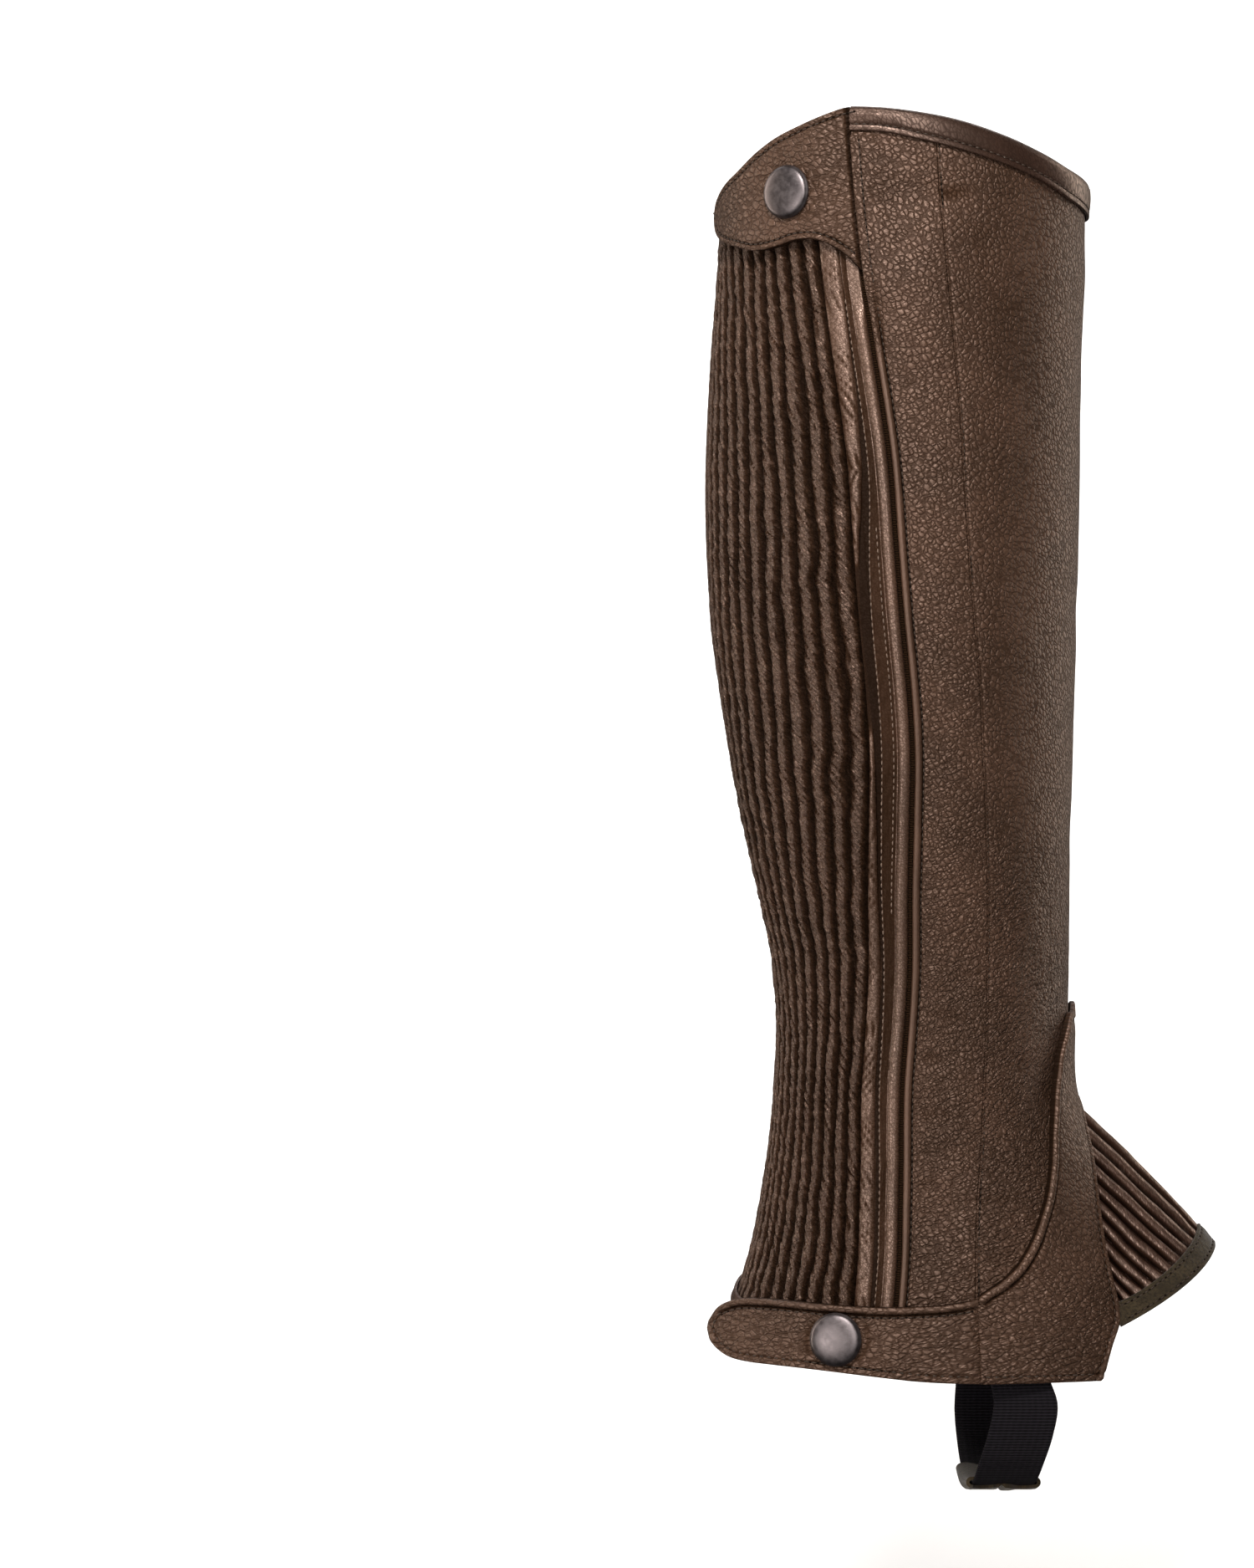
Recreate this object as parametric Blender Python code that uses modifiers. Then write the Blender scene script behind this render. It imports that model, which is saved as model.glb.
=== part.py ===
# One half chap for a rider's right leg, in the hollow form that it has when worn: a leather shell,
# a ribbed elastic calf panel, a covered zip, a snap flap, an ankle strap with its overlay, an
# instep gusset, and an elastic that passes under the boot.
#
# +X points forward, -Y to the outer side of the leg and +Z up. The origin is the centre of the
# calf at its widest. The tables are in millimetres, and in degrees round the leg: 0 is the outer
# side, 90 the front, 180 the inner side and 270 the back. "Out" is a distance from the outer face
# of the leather shell, along the level line away from the leg.

import math

import bmesh
import bpy
from mathutils import Matrix, Vector

NAME = "half_chap"
MM = 0.001

# Thicknesses and gaps, mm
GAP = 0.3
LEATHER = 1.6
RIBBED = 2.6
BINDING = 1.0
PATCH = 1.0
ELASTIC = 1.2
LAY = 0.5


def table(names, *rows):
    """Columns by name, in the order of the first column."""
    columns = dict(zip(names.split(), zip(*sorted(rows))))
    columns["place"] = columns[names.split()[0]]
    return columns


# Rings of the leg. front_out and front_in are the fronts of the outer and inner half, which part
# below the ankle to let the instep through; shin is where the front would be without that.
RINGS = table(
    "height back shin front_out front_in half_width",
    (-290, -57.0, 63.0, 93.0, 78.5, 42.5),
    (-260, -51.2, 60.5, 85.0, 75.9, 41.5),
    (-240, -46.0, 59.2, 75.7, 70.4, 40.5),
    (-216, -41.8, 58.0, 66.9, 64.5, 39.8),
    (-203, -40.2, 57.5, 61.5, 60.5, 39.6),
    (-190, -39.2, 57.1, 57.6, 57.6, 39.8),
    (-170, -38.5, 57.0, 57.0, 57.0, 40.5),
    (-148, -40.3, 57.3, 57.3, 57.3, 42.5),
    (-126, -44.9, 57.8, 57.8, 57.8, 45.5),
    (-104, -49.9, 58.4, 58.4, 58.4, 48.8),
    (-82, -54.0, 58.9, 58.9, 58.9, 51.8),
    (-60, -57.3, 59.5, 59.5, 59.5, 54.2),
    (-38, -60.0, 59.8, 59.8, 59.8, 55.7),
    (0, -61.6, 60.7, 60.7, 60.7, 56.5),
    (38, -60.4, 61.4, 61.4, 61.4, 56.4),
    (82, -57.4, 62.5, 62.5, 62.5, 55.4),
    (126, -56.4, 63.3, 63.3, 63.3, 54.6),
)

# Upright lines on the leg: the zip's groove, the outer side seam, and the ribbed panel's inner edge
LINES = table(
    "height zip side_seam rib_edge",
    (-284, -6.0, 14.0, 227.0),
    (-256, -6.0, 14.5, 228.5),
    (-225, -8.0, 16.5, 232.0),
    (-190, -9.5, 22.0, 230.5),
    (-150, -6.2, 24.0, 222.5),
    (-128, -3.8, 25.0, 217.0),
    (-107, -1.0, 25.5, 216.0),
    (-82, 1.3, 25.0, 219.0),
    (-56, 1.0, 24.0, 223.0),
    (-16, -1.2, 21.0, 231.3),
    (8, -3.0, 19.2, 233.8),
    (28, -6.0, 17.5, 234.5),
    (70, -14.0, 11.8, 232.3),
    (93, -17.3, 9.2, 226.5),
    (123, -20.0, 7.0, 224.0),
)

# Top edge with its binding on, and how far down the binding's fold reaches
TOP = table(
    "angle height fold",
    (-24, 123.6, 8.0),
    (-9, 122.7, 8.0),
    (3, 121.1, 9.0),
    (15, 118.8, 9.6),
    (30, 114.7, 9.6),
    (46, 109.9, 9.6),
    (62, 105.9, 10.2),
    (90, 103.2, 11.0),
    (130, 103.2, 9.6),
    (190, 102.6, 9.4),
    (227, 103.4, 9.2),
    (250, 100.4, 6.6),
    (275, 98.4, 5.0),
    (350, 97.0, 5.0),
)

BACK_BINDING_END = 327.5

# Lower edge, binding included; the outer side goes on past 360
HEM = table(
    "angle height fold",
    (128, -281.2, 9.8),
    (150, -281.6, 12.0),
    (158, -279.1, 12.0),
    (166, -273.6, 10.6),
    (174, -268.6, 10.0),
    (190, -262.0, 9.8),
    (206, -259.2, 8.8),
    (226, -258.2, 8.2),
    (255, -255.8, 6.8),
    (275, -255.4, 6.5),
    (300, -258.0, 6.5),
    (330, -268.0, 6.5),
    (345, -275.5, 6.5),
    (360, -281.0, 6.5),
    (420, -282.4, 6.5),
)

# Slit over the instep, between the wings of the overlay
SLIT_TOP = -196
SLIT_INSET = 5
SLIT = table(
    "height outer inner",
    (-290, 42.0, 135.0),
    (-274, 49.0, 130.5),
    (-265, 54.0, 129.0),
    (-254, 55.6, 127.0),
    (-238, 60.0, 122.0),
    (-221, 66.2, 115.5),
    (-209, 74.5, 106.5),
    (-202, 81.3, 99.0),
    (SLIT_TOP, 90.0, 90.0),
    (-180, 90.0, 90.0),
)

# Side edges of the ankle overlay, from foot to tip, and how far its tip stands off the shin
OVERLAY = table(
    "height outer inner off",
    (-284.6, 14.8, 151.8, 0.0),
    (-270.0, 14.8, 151.6, 0.0),
    (-257.2, 14.8, 150.8, 0.0),
    (-252.6, 20.0, 150.2, 0.0),
    (-247.6, 25.2, 149.4, 0.0),
    (-238.9, 31.5, 147.5, 0.0),
    (-232.0, 35.4, 146.3, 0.0),
    (-225.5, 39.0, 145.0, 0.0),
    (-217.0, 43.0, 143.3, 0.0),
    (-208.8, 47.0, 141.5, 0.0),
    (-202.0, 50.8, 139.6, 0.0),
    (SLIT_TOP, 54.5, 137.5, 0.1),
    (-186.0, 60.0, 134.0, 0.3),
    (-178.8, 63.0, 131.0, 0.6),
    (-169.8, 71.0, 123.0, 1.2),
    (-166.0, 77.5, 111.0, 1.6),
    (-163.6, 85.0, 99.0, 1.9),
)
OVERLAY_COLUMNS = (8, 6)

# Tail of the ankle strap; its end springs clear of the leg
STRAP = table(
    "angle low high out",
    (-70, -268.8, -266.4, 11.0),
    (-68, -272.6, -262.4, 10.1),
    (-65, -275.2, -260.2, 8.9),
    (-60, -277.6, -258.6, 7.0),
    (-53, -278.7, -258.2, 5.0),
    (-45, -279.2, -258.3, 3.4),
    (-35, -279.8, -258.8, 2.2),
    (-23, -280.8, -259.4, 1.7),
    (-12, -281.9, -259.8, 1.7),
    (-3, -282.9, -259.7, 1.7),
    (6, -284.0, -259.2, 1.1),
    (14.2, -284.5, -257.6, 0.5),
)
STRAP_ROWS = 5
STRAP_SNAP = (-23.5, -270.3)

# Snap flap over the top of the zip
FLAP = table(
    "angle low high out",
    (-75.0, 91.4, 93.0, 1.9),
    (-73.5, 88.2, 96.0, 1.9),
    (-71.0, 86.0, 98.4, 1.9),
    (-66.0, 83.0, 101.8, 1.8),
    (-60.0, 80.6, 105.2, 1.8),
    (-51.5, 78.7, 110.0, 1.8),
    (-43.0, 79.2, 114.3, 1.8),
    (-35.0, 81.1, 117.4, 1.8),
    (-28.5, 81.0, 119.8, 1.8),
    (-22.0, 78.1, 122.2, 0.7),
    (-16.5, 73.7, 123.4, 0.5),
    (-12.0, 68.4, 123.6, 0.5),
)
FLAP_COLUMNS = 14
FLAP_ROWS = 7
FLAP_SNAP = (-38.0, 96.5)

# Contact patch on the inner side
PATCH_EDGES = table(
    "height front back",
    (71.3, 158, 171),
    (70.7, 153, 180),
    (69.6, 149, 187),
    (68.2, 145.5, 193.5),
    (66, 142, 199.5),
    (60.6, 137, 207),
    (52, 133.5, 211.5),
    (41, 130.5, 212.8),
    (22, 127.6, 211.6),
    (4, 125, 209.5),
    (-22, 123, 205),
    (-53, 122, 203),
    (-84, 123.5, 201.7),
    (-110, 125.5, 203),
    (-122, 128, 202.2),
    (-130, 133, 200),
    (-137, 140.5, 194),
    (-141, 149.5, 186),
    (-142.4, 156, 180.5),
    (-143.2, 163, 174),
)
PATCH_COLUMNS = 10
PATCH_STEP = 20

# Walls of the shell: columns, and rows that all its walls share. The first and the last row are
# as deep as the bindings.
SHELL_COLUMNS = (9, 16)
SLIT_ROWS = 8
SHELL_ROWS = 21
END_ROW = 9.0

# Zip: the groove, the guard beside it, and the raised rim of the rear panel
GROOVE = 1.4
GUARD_WIDTH = 13.4
GUARD_PROFILE = table(
    "share out",
    (0.0, -0.5),
    (0.25, -0.5),
    (0.52, -0.5),
    (0.6, -0.6),
    (0.69, 0.5),
    (0.8, 0.9),
    (0.91, 0.5),
    (1.0, -0.6),
)
RIM_WIDTH = 2.2
RIM_HEIGHT = 0.7
FLAP_RIM_HEIGHT = 2.4
FLAP_FOOT = 66
FLAP_RIM_TOP = 110
TAPE = 1.0
TAPE_HALF_WIDTH = 8.0
TAPE_SHORT = 4.0

# Ribbed calf panel
RIBS = 18
RIB_DEPTH = 1.4

# Instep gusset: where its ribs start on the wings and end at the hem round the toe
GUSSET_RIBS = 21
GUSSET_ROWS = 5
GUSSET_FOOT = -260.0
GUSSET = 2.0
GUSSET_DEPTH = 1.0
GUSSET_ROUND = 1.6
TOE = (105.3, -243.0)
TOE_HALF_WIDTH = 26.5
TOE_DROP = 23.4
TOE_BACK_OUTER = 75.0
TOE_BACK_INNER = 65.2
BAND_WIDTH = 8.0
BAND = 1.2

# Free run of the foot elastic: middle of its thickness, back and front edge
FOOT_STRAP = table(
    "place y height back front",
    (0, -36.3, -291.5, 30.6, 51.2),
    (1, -34.8, -301.5, 28.8, 49.9),
    (2, -29.5, -311.5, 26.2, 47.2),
    (3, -18.5, -318.6, 24.9, 45.5),
    (4, 0.0, -321.2, 24.0, 44.6),
    (5, 18.5, -318.6, 23.5, 44.0),
    (6, 29.5, -311.5, 22.8, 43.4),
    (7, 34.8, -301.5, 22.2, 42.7),
    (8, 36.3, -291.5, 22.8, 43.2),
)
SEWN_OUTER = (17.6, 32.0)
SEWN_INNER = (163.6, 147.4)
SEWN_HEIGHTS = (-264.0, -273.0, -282.0)
STRAP_STEPS = 3
WRAP_FROM = 4.9
WRAP_TO = 9.1
WRAP_STEPS = 14
WRAP = 1.3

# Snap caps
CAP_RADIUS = 8.6
CAP_HEIGHT = 2.8
CAP_STEPS = 28

FINISHES = {
    "leather": ((0.075, 0.043, 0.029), 0.5, 0.0),
    "binding": ((0.066, 0.037, 0.025), 0.45, 0.0),
    "suede": ((0.085, 0.055, 0.026), 0.9, 0.0),
    "elastic": ((0.006, 0.006, 0.007), 0.85, 0.0),
    "tape": ((0.02, 0.014, 0.011), 0.85, 0.0),
    "metal": ((0.30, 0.28, 0.27), 0.35, 1.0),
}


def mix(a, b, share):
    return a + (b - a) * share


def read(columns, name, place):
    """A smooth curve through a column: cubics whose slopes come from the neighbours."""
    places = columns["place"]
    values = columns[name]
    last = len(places) - 1
    first = sum(1 for p in places[1:last] if p <= place)

    def slope(k):
        before = max(k - 1, 0)
        after = min(k + 1, last)
        return (values[after] - values[before]) / (places[after] - places[before])

    step = places[first + 1] - places[first]
    t = (place - places[first]) / step
    if t < 0:
        return values[first] + slope(first) * step * t
    if t > 1:
        return values[first + 1] + slope(first + 1) * step * (t - 1)
    rise = values[first + 1] - values[first]
    start = slope(first) * step
    end = slope(first + 1) * step
    return values[first] + t * (start + t * (3 * rise - 2 * start - end + t * (start + end - 2 * rise)))


def on_leg(angle, height, out=0.0):
    """A point of the leg's surface, moved out."""
    back = read(RINGS, "back", height)
    middle = (back + read(RINGS, "shin", height)) / 2
    across = math.sin(math.radians(angle))
    aside = -math.cos(math.radians(angle))
    if across < 0:
        depth = middle - back
    elif aside < 0:
        depth = read(RINGS, "front_out", height) - middle
    else:
        depth = read(RINGS, "front_in", height) - middle
    half_width = read(RINGS, "half_width", height)
    return Vector((middle + (depth + out) * across, (half_width + out) * aside, height))


def degrees_of(length, height):
    """The angle that a length takes up at the side of the leg."""
    depth = (read(RINGS, "shin", height) - read(RINGS, "back", height)) / 2
    return math.degrees(length / depth)


def zip_line(height, shift=0.0):
    return read(LINES, "zip", height) + degrees_of(shift, height)


def side_seam(height, shift=0.0):
    return read(LINES, "side_seam", height) + degrees_of(shift, height)


def rib_edge(height, shift=0.0):
    return read(LINES, "rib_edge", height) + degrees_of(shift, height)


def top_edge(angle):
    """Top of the walls, inside the binding."""
    return read(TOP, "height", angle) - BINDING - GAP


def hem_angle(angle):
    return angle + 360 if angle < 100 else angle


def hem_edge(angle):
    """Foot of the walls, inside the binding."""
    return read(HEM, "height", hem_angle(angle)) + BINDING + GAP


def shell_height(angle, row):
    """Height of a shared row, even between the slit's top and the two end rows."""
    low = hem_edge(angle)
    high = top_edge(angle)
    split = SLIT_TOP + SLIT_INSET
    if row == 0:
        return low
    if row == SHELL_ROWS:
        return high
    if row <= SLIT_ROWS:
        return mix(low + END_ROW, split, (row - 1) / (SLIT_ROWS - 1))
    return mix(split, high - END_ROW, (row - SLIT_ROWS) / (SHELL_ROWS - 1 - SLIT_ROWS))


def slit(side, height):
    """Angle of one edge of the slit; above the slit both are the front of the leg."""
    if height >= SLIT_TOP:
        return 90.0
    angle = read(SLIT, side, height)
    return min(angle, 90.0) if side == "outer" else max(angle, 90.0)


def settle(angle_at, height_at):
    """The place where a side line, angle_at(height), meets a level line, height_at(angle)."""
    height = 0.0
    for _ in range(7):
        angle = angle_at(height)
        height = height_at(angle)
    return angle, height


def finish(name, kind):
    """The piece's own material."""
    colour, roughness, metallic = FINISHES[kind]
    material = bpy.data.materials.new(name)
    material.use_nodes = True
    shader = material.node_tree.nodes["Principled BSDF"]
    shader.inputs["Base Color"].default_value = (*colour, 1.0)
    shader.inputs["Roughness"].default_value = roughness
    shader.inputs["Metallic"].default_value = metallic
    return material


def add_piece(name, kind, mesh):
    piece = bpy.data.objects.new(name, mesh)
    mesh.materials.append(finish(name, kind))
    bpy.data.collections[NAME].objects.link(piece)
    return piece


def wall(name, kind, quads, outer, inner, inner_key=None):
    """A closed wall between an outer and an inner sheet of the same quads.

    A quad is four keys; outer and inner turn a key into a point. With inner_key, the inner sheet
    is plainer: it turns each key into the one that stands for it there.
    """
    inner_key = inner_key or (lambda key: key)
    points = []
    indices = {}

    def index(sheet, key):
        if (sheet, key) not in indices:
            indices[(sheet, key)] = len(points)
            points.append((outer if sheet == "outer" else inner)(key) * MM)
        return indices[(sheet, key)]

    def ring(corners):
        """Corners with no repeats, or nothing if fewer than three are left."""
        kept = [c for k, c in enumerate(corners) if c != corners[k - 1]]
        return kept if len(set(kept)) > 2 else None

    faces = []
    edges = set()
    for quad in quads:
        faces.append([index("outer", key) for key in quad])
        faces.append(ring([index("inner", inner_key(key)) for key in reversed(quad)]))
        edges.update(zip(quad, quad[1:] + quad[:1]))
    for start, end in sorted(edges):
        if (end, start) not in edges:
            corners = [index("outer", end), index("outer", start)]
            corners += [index("inner", inner_key(start)), index("inner", inner_key(end))]
            faces.append(ring(corners))

    mesh = bpy.data.meshes.new(name)
    mesh.from_pydata([tuple(p) for p in points], [], [face for face in faces if face])
    work = bmesh.new()
    work.from_mesh(mesh)
    bmesh.ops.recalc_face_normals(work, faces=work.faces)
    work.to_mesh(mesh)
    work.free()
    return add_piece(name, kind, mesh)


def grid(columns, rows, first_row=0):
    """Quads of a plain grid, as (column, row) keys."""
    return [
        ((c, r), (c + 1, r), (c + 1, r + 1), (c, r + 1))
        for c in range(columns)
        for r in range(first_row, first_row + rows)
    ]


def slit_grid(columns, rows, slit_rows):
    """A grid whose middle column is parted below the slit's top: keys there end in 1."""
    left, right = columns

    def key(c, r, half):
        parted = half == 1 and c == left and r < slit_rows
        return (c, r, 1) if parted else (c, r, 0)

    quads = []
    for c in range(left + right):
        half = 0 if c < left else 1
        for r in range(rows):
            quads.append((key(c, r, half), key(c + 1, r, half), key(c + 1, r + 1, half), key(c, r + 1, half)))
    return quads


def shell_wall(name, kind, columns, lines, outer, inner):
    """A wall over the shell's shared rows. lines(column, height) is the angle of a column's line;
    outer(column, height) and inner are distances out."""

    def sheet(out):
        def point(key):
            column, row = key
            angle, height = settle(lambda h: lines(column, h), lambda a: shell_height(a, row))
            return on_leg(angle, height, out(column, height))

        return point

    return wall(name, kind, grid(columns, SHELL_ROWS), sheet(outer), sheet(inner))


def front_panel():
    left, right = SHELL_COLUMNS

    def place(key):
        column, row, half = key

        def line(height):
            edge = height - SLIT_INSET
            if column < left or (column == left and half == 0):
                return mix(side_seam(height, GAP), slit("outer", edge), column / left)
            return mix(slit("inner", edge), rib_edge(height, -GAP), (column - left) / right)

        return settle(line, lambda angle: shell_height(angle, row))

    quads = slit_grid(SHELL_COLUMNS, SHELL_ROWS, SLIT_ROWS)
    wall("front_panel", "leather", quads, lambda k: on_leg(*place(k)), lambda k: on_leg(*place(k), -LEATHER))


def outer_rear_panel():
    """Its edge along the zip is folded into a rim, taller where the flap is sewn under it."""
    rim_shape = (0.6, 1.0, 0.8, 0.0)
    rim_columns = len(rim_shape) - 1
    rest_columns = 4

    def line(column, height):
        rim = min(column / rim_columns, 1.0) * RIM_WIDTH
        rest = max(column - rim_columns, 0) / rest_columns
        return mix(zip_line(height, GROOVE / 2 + rim), side_seam(height), rest)

    def outer(column, height):
        beside_flap = FLAP_FOOT < height < FLAP_RIM_TOP
        full = FLAP_RIM_HEIGHT if beside_flap else RIM_HEIGHT if height < FLAP_FOOT else 0.0
        return full * rim_shape[column] if column < rim_columns else 0.0

    columns = rim_columns + rest_columns
    shell_wall("outer_rear_panel", "leather", columns, line, outer, lambda c, h: -LEATHER)


def ribbed_panel():
    """Ribs stand in the outer face, over a plain inner face, and sink at both ends."""
    per_rib = 3
    columns = RIBS * per_rib

    def place(key):
        column, row = key

        def line(height):
            end = zip_line(height, -GUARD_WIDTH - GROOVE / 2 - GAP) + 360
            return mix(rib_edge(height), end, column / columns)

        return settle(line, lambda angle: shell_height(angle, row))

    def outer(key):
        valley = key[0] % per_rib == 0 and 0 < key[1] < SHELL_ROWS
        return on_leg(*place(key), -RIB_DEPTH if valley else 0.0)

    def inner(key):
        return on_leg(*place(key), -RIBBED)

    def plain(key):
        return (key[0] - key[0] % per_rib, key[1])

    wall("ribbed_panel", "leather", grid(columns, SHELL_ROWS), outer, inner, plain)


def zip_guard():
    shares = GUARD_PROFILE["share"]

    def line(column, height):
        return 360 + zip_line(height, -GROOVE / 2 - GUARD_WIDTH * (1 - shares[column]))

    def outer(column, height):
        out = GUARD_PROFILE["out"][column]
        return min(out, 0.0) if height > FLAP_FOOT - 10 else out

    shell_wall("zip_guard", "leather", len(shares) - 1, line, outer, lambda c, h: -LEATHER)


def zip_tape():
    columns = 4
    face = -LEATHER - LAY

    def sheet(out):
        def point(key):
            shift = mix(-TAPE_HALF_WIDTH, TAPE_HALF_WIDTH, key[0] / columns)
            row_angle = 350
            height = shell_height(row_angle, key[1])
            height = min(max(height, hem_edge(row_angle) + TAPE_SHORT), top_edge(row_angle) - TAPE_SHORT)
            return on_leg(zip_line(height, shift), height, out)

        return point

    wall("zip_tape", "tape", grid(columns, SHELL_ROWS), sheet(face), sheet(face - TAPE))


def top_flap():
    """Its columns close up towards its round end."""
    end = FLAP["angle"][0]

    def sheet(out):
        def point(key):
            u = math.sin(math.radians(90 * key[0] / FLAP_COLUMNS))
            v = key[1] / FLAP_ROWS
            angle, height = settle(
                lambda h: mix(zip_line(h, GROOVE / 2 - GAP), end, u),
                lambda a: mix(read(FLAP, "low", a), read(FLAP, "high", a), v),
            )
            return on_leg(angle, height, read(FLAP, "out", angle) + out)

        return point

    wall("top_flap", "leather", grid(FLAP_COLUMNS, FLAP_ROWS), sheet(LEATHER), sheet(0.0))


def inner_patch():
    heights = [PATCH_EDGES["height"][0]]
    for height in PATCH_EDGES["height"][1:]:
        steps = math.ceil((height - heights[-1]) / PATCH_STEP)
        start = heights[-1]
        heights += [mix(start, height, k / steps) for k in range(1, steps + 1)]

    def sheet(out):
        def point(key):
            height = heights[key[1]]
            front = read(PATCH_EDGES, "front", height)
            back = read(PATCH_EDGES, "back", height)
            return on_leg(mix(front, back, key[0] / PATCH_COLUMNS), height, out)

        return point

    wall("inner_patch", "leather", grid(PATCH_COLUMNS, len(heights) - 1), sheet(LAY + PATCH), sheet(LAY))


def ankle_overlay():
    heights = OVERLAY["height"]
    left, right = OVERLAY_COLUMNS
    slit_row = heights.index(SLIT_TOP)

    def place(key):
        c, r, half = key
        height = heights[r]
        if c < left or (c == left and half == 0):
            angle = mix(read(OVERLAY, "outer", height), slit("outer", height), c / left)
        else:
            angle = mix(slit("inner", height), read(OVERLAY, "inner", height), (c - left) / right)
            height = max(height, hem_edge(angle) + GAP)
        return angle, height

    def sheet(out):
        def point(key):
            angle, height = place(key)
            return on_leg(angle, height, out + read(OVERLAY, "off", height))

        return point

    quads = slit_grid(OVERLAY_COLUMNS, len(heights) - 1, slit_row)
    wall("ankle_overlay", "leather", quads, sheet(LAY + LEATHER), sheet(LAY))


def ankle_strap():
    angles = STRAP["angle"]

    def sheet(out):
        def point(key):
            angle = angles[key[0]]
            share = key[1] / STRAP_ROWS
            height = mix(read(STRAP, "low", angle), read(STRAP, "high", angle), share)
            return on_leg(angle, height, out + read(STRAP, "out", angle))

        return point

    wall("ankle_strap", "leather", grid(len(angles) - 1, STRAP_ROWS), sheet(LEATHER), sheet(0.0))


def fold_binding(name, edge, fold, lie, span, columns, upward, wall_in):
    """A folded strip round an edge: down the outer face, over the edge and down the inner face.

    edge(angle) is the wall's edge, fold(angle) how far the strip reaches from its own crest,
    lie(angle) how far out it lies, and wall_in(angle) the wall's inner face.
    """
    way = 1 if upward else -1

    def profile(angle, skin):
        far = lie(angle) + (BINDING if skin == "outer" else 0.0)
        near = -wall_in(angle) - LAY - (BINDING if skin == "outer" else 0.0)
        crest = edge(angle) + way * (GAP + (BINDING if skin == "outer" else 0.0))
        corner = BINDING * 0.7 if skin == "outer" else 0.0
        leg = edge(angle) + way * (GAP + BINDING - fold(angle))
        return (
            (far, leg),
            (far, crest - way * corner),
            (far - corner, crest),
            (near + corner, crest),
            (near, crest - way * corner),
            (near, leg),
        )

    def sheet(skin):
        def point(key):
            angle = mix(span[0], span[1], key[0] / columns)
            places = profile(angle, skin)
            out, height = places[key[1]]
            return on_leg(angle, height, out)

        return point

    wall(name, "binding", grid(columns, 5), sheet("outer"), sheet("inner"))


def ease(angle, start, end):
    """0 before the start and 1 after the end."""
    return min(max((angle - start) / (end - start), 0.0), 1.0)


def top_bindings():
    """One on the leather, and a thinner one on the ribbed panel that ends under the flap."""

    def fold(angle):
        return read(TOP, "fold", angle)

    def on_shell(_):
        return LAY

    joint = rib_edge(100)
    on_leather = (zip_line(122) + 1.2, joint - 0.8)
    on_ribs = (joint + 0.6, BACK_BINDING_END)
    fold_binding("top_binding", top_edge, fold, on_shell, on_leather, 44, True, lambda _: LEATHER)
    fold_binding("back_binding", top_edge, fold, on_shell, on_ribs, 18, True, lambda _: RIBBED)


def hem_binding():
    """Its fold goes over the overlay's inner wing as well."""

    def fold(angle):
        return read(HEM, "fold", hem_angle(angle))

    def over_wing(angle):
        return mix(LAY + LEATHER + LAY, LAY, ease(angle, 153, 157))

    def inside(angle):
        return mix(LEATHER, RIBBED, ease(angle, 222, 226))

    fold_binding("hem_binding", hem_edge, fold, over_wing, (134.5, 336.5), 42, False, inside)


def gusset_point(across, along, out):
    """A point of the gusset. across runs from -1, the outer wing, to 1, the inner one, and
    along from 0 at the wing to 1 at the hem."""
    side = "outer" if across < 0 else "inner"
    share = abs(across)

    def flat(share, along):
        height = mix(SLIT_TOP, GUSSET_FOOT, share)
        forward = 1.6 if side == "outer" else -1.6
        start = on_leg(slit(side, height) + forward * min(share * 8, 1), height, -0.1)
        turn = math.radians(90 * share**0.8)
        back = TOE_BACK_OUTER if side == "outer" else TOE_BACK_INNER
        aside = -1 if side == "outer" else 1
        end = Vector((
            mix(back, TOE[0], math.cos(turn)),
            aside * TOE_HALF_WIDTH * math.sin(turn),
            TOE[1] - TOE_DROP * (1 - math.cos(turn)) ** 0.7,
        ))
        bow = Vector((0, 0, GUSSET_ROUND * 4 * along * (1 - along) * (1 - share)))
        return start.lerp(end, along) + bow

    here = flat(share, along)
    if out == 0:
        return here
    step = 0.02
    low_share = max(share - step, 0.0)
    low_along = max(along - step, 0.0)
    sideways = flat(low_share + 2 * step, along) - flat(low_share, along)
    forwards = flat(share, min(low_along + 2 * step, 1.0)) - flat(share, low_along)
    normal = sideways.cross(forwards).normalized()
    if side == "inner":
        normal.negate()
    if share < step:
        normal.y = 0
        normal.normalize()
    return here + normal * out


def band_start(across):
    """Where along its ribs the gusset's band begins."""
    length = (gusset_point(across, 1, 0) - gusset_point(across, 0, 0)).length
    return max(1 - BAND_WIDTH / length, 0.2)


def instep_gusset():
    per_rib = 3
    columns = GUSSET_RIBS * per_rib

    def place(key):
        across = mix(-1, 1, key[0] / columns)
        start = band_start(across)
        flat_rows = 1
        ribbed = GUSSET_ROWS - flat_rows
        if key[1] <= ribbed:
            return across, start * key[1] / ribbed
        return across, 1.0 - 0.3 * (1 - start)

    def outer(key):
        valley = key[0] % per_rib == 0 and key[1] < GUSSET_ROWS - 1
        return gusset_point(*place(key), -GUSSET_DEPTH if valley else -0.001)

    def inner(key):
        return gusset_point(*place(key), -GUSSET)

    def plain(key):
        return (key[0] - key[0] % per_rib, key[1])

    wall("instep_gusset", "leather", grid(columns, GUSSET_ROWS), outer, inner, plain)


def gusset_band():
    columns = 40
    rows = 2

    def sheet(out):
        def point(key):
            across = mix(-1, 1, key[0] / columns)
            return gusset_point(across, mix(band_start(across), 1, key[1] / rows), out)

        return point

    wall("gusset_band", "suede", grid(columns, rows), sheet(LAY + BAND), sheet(LAY))


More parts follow.
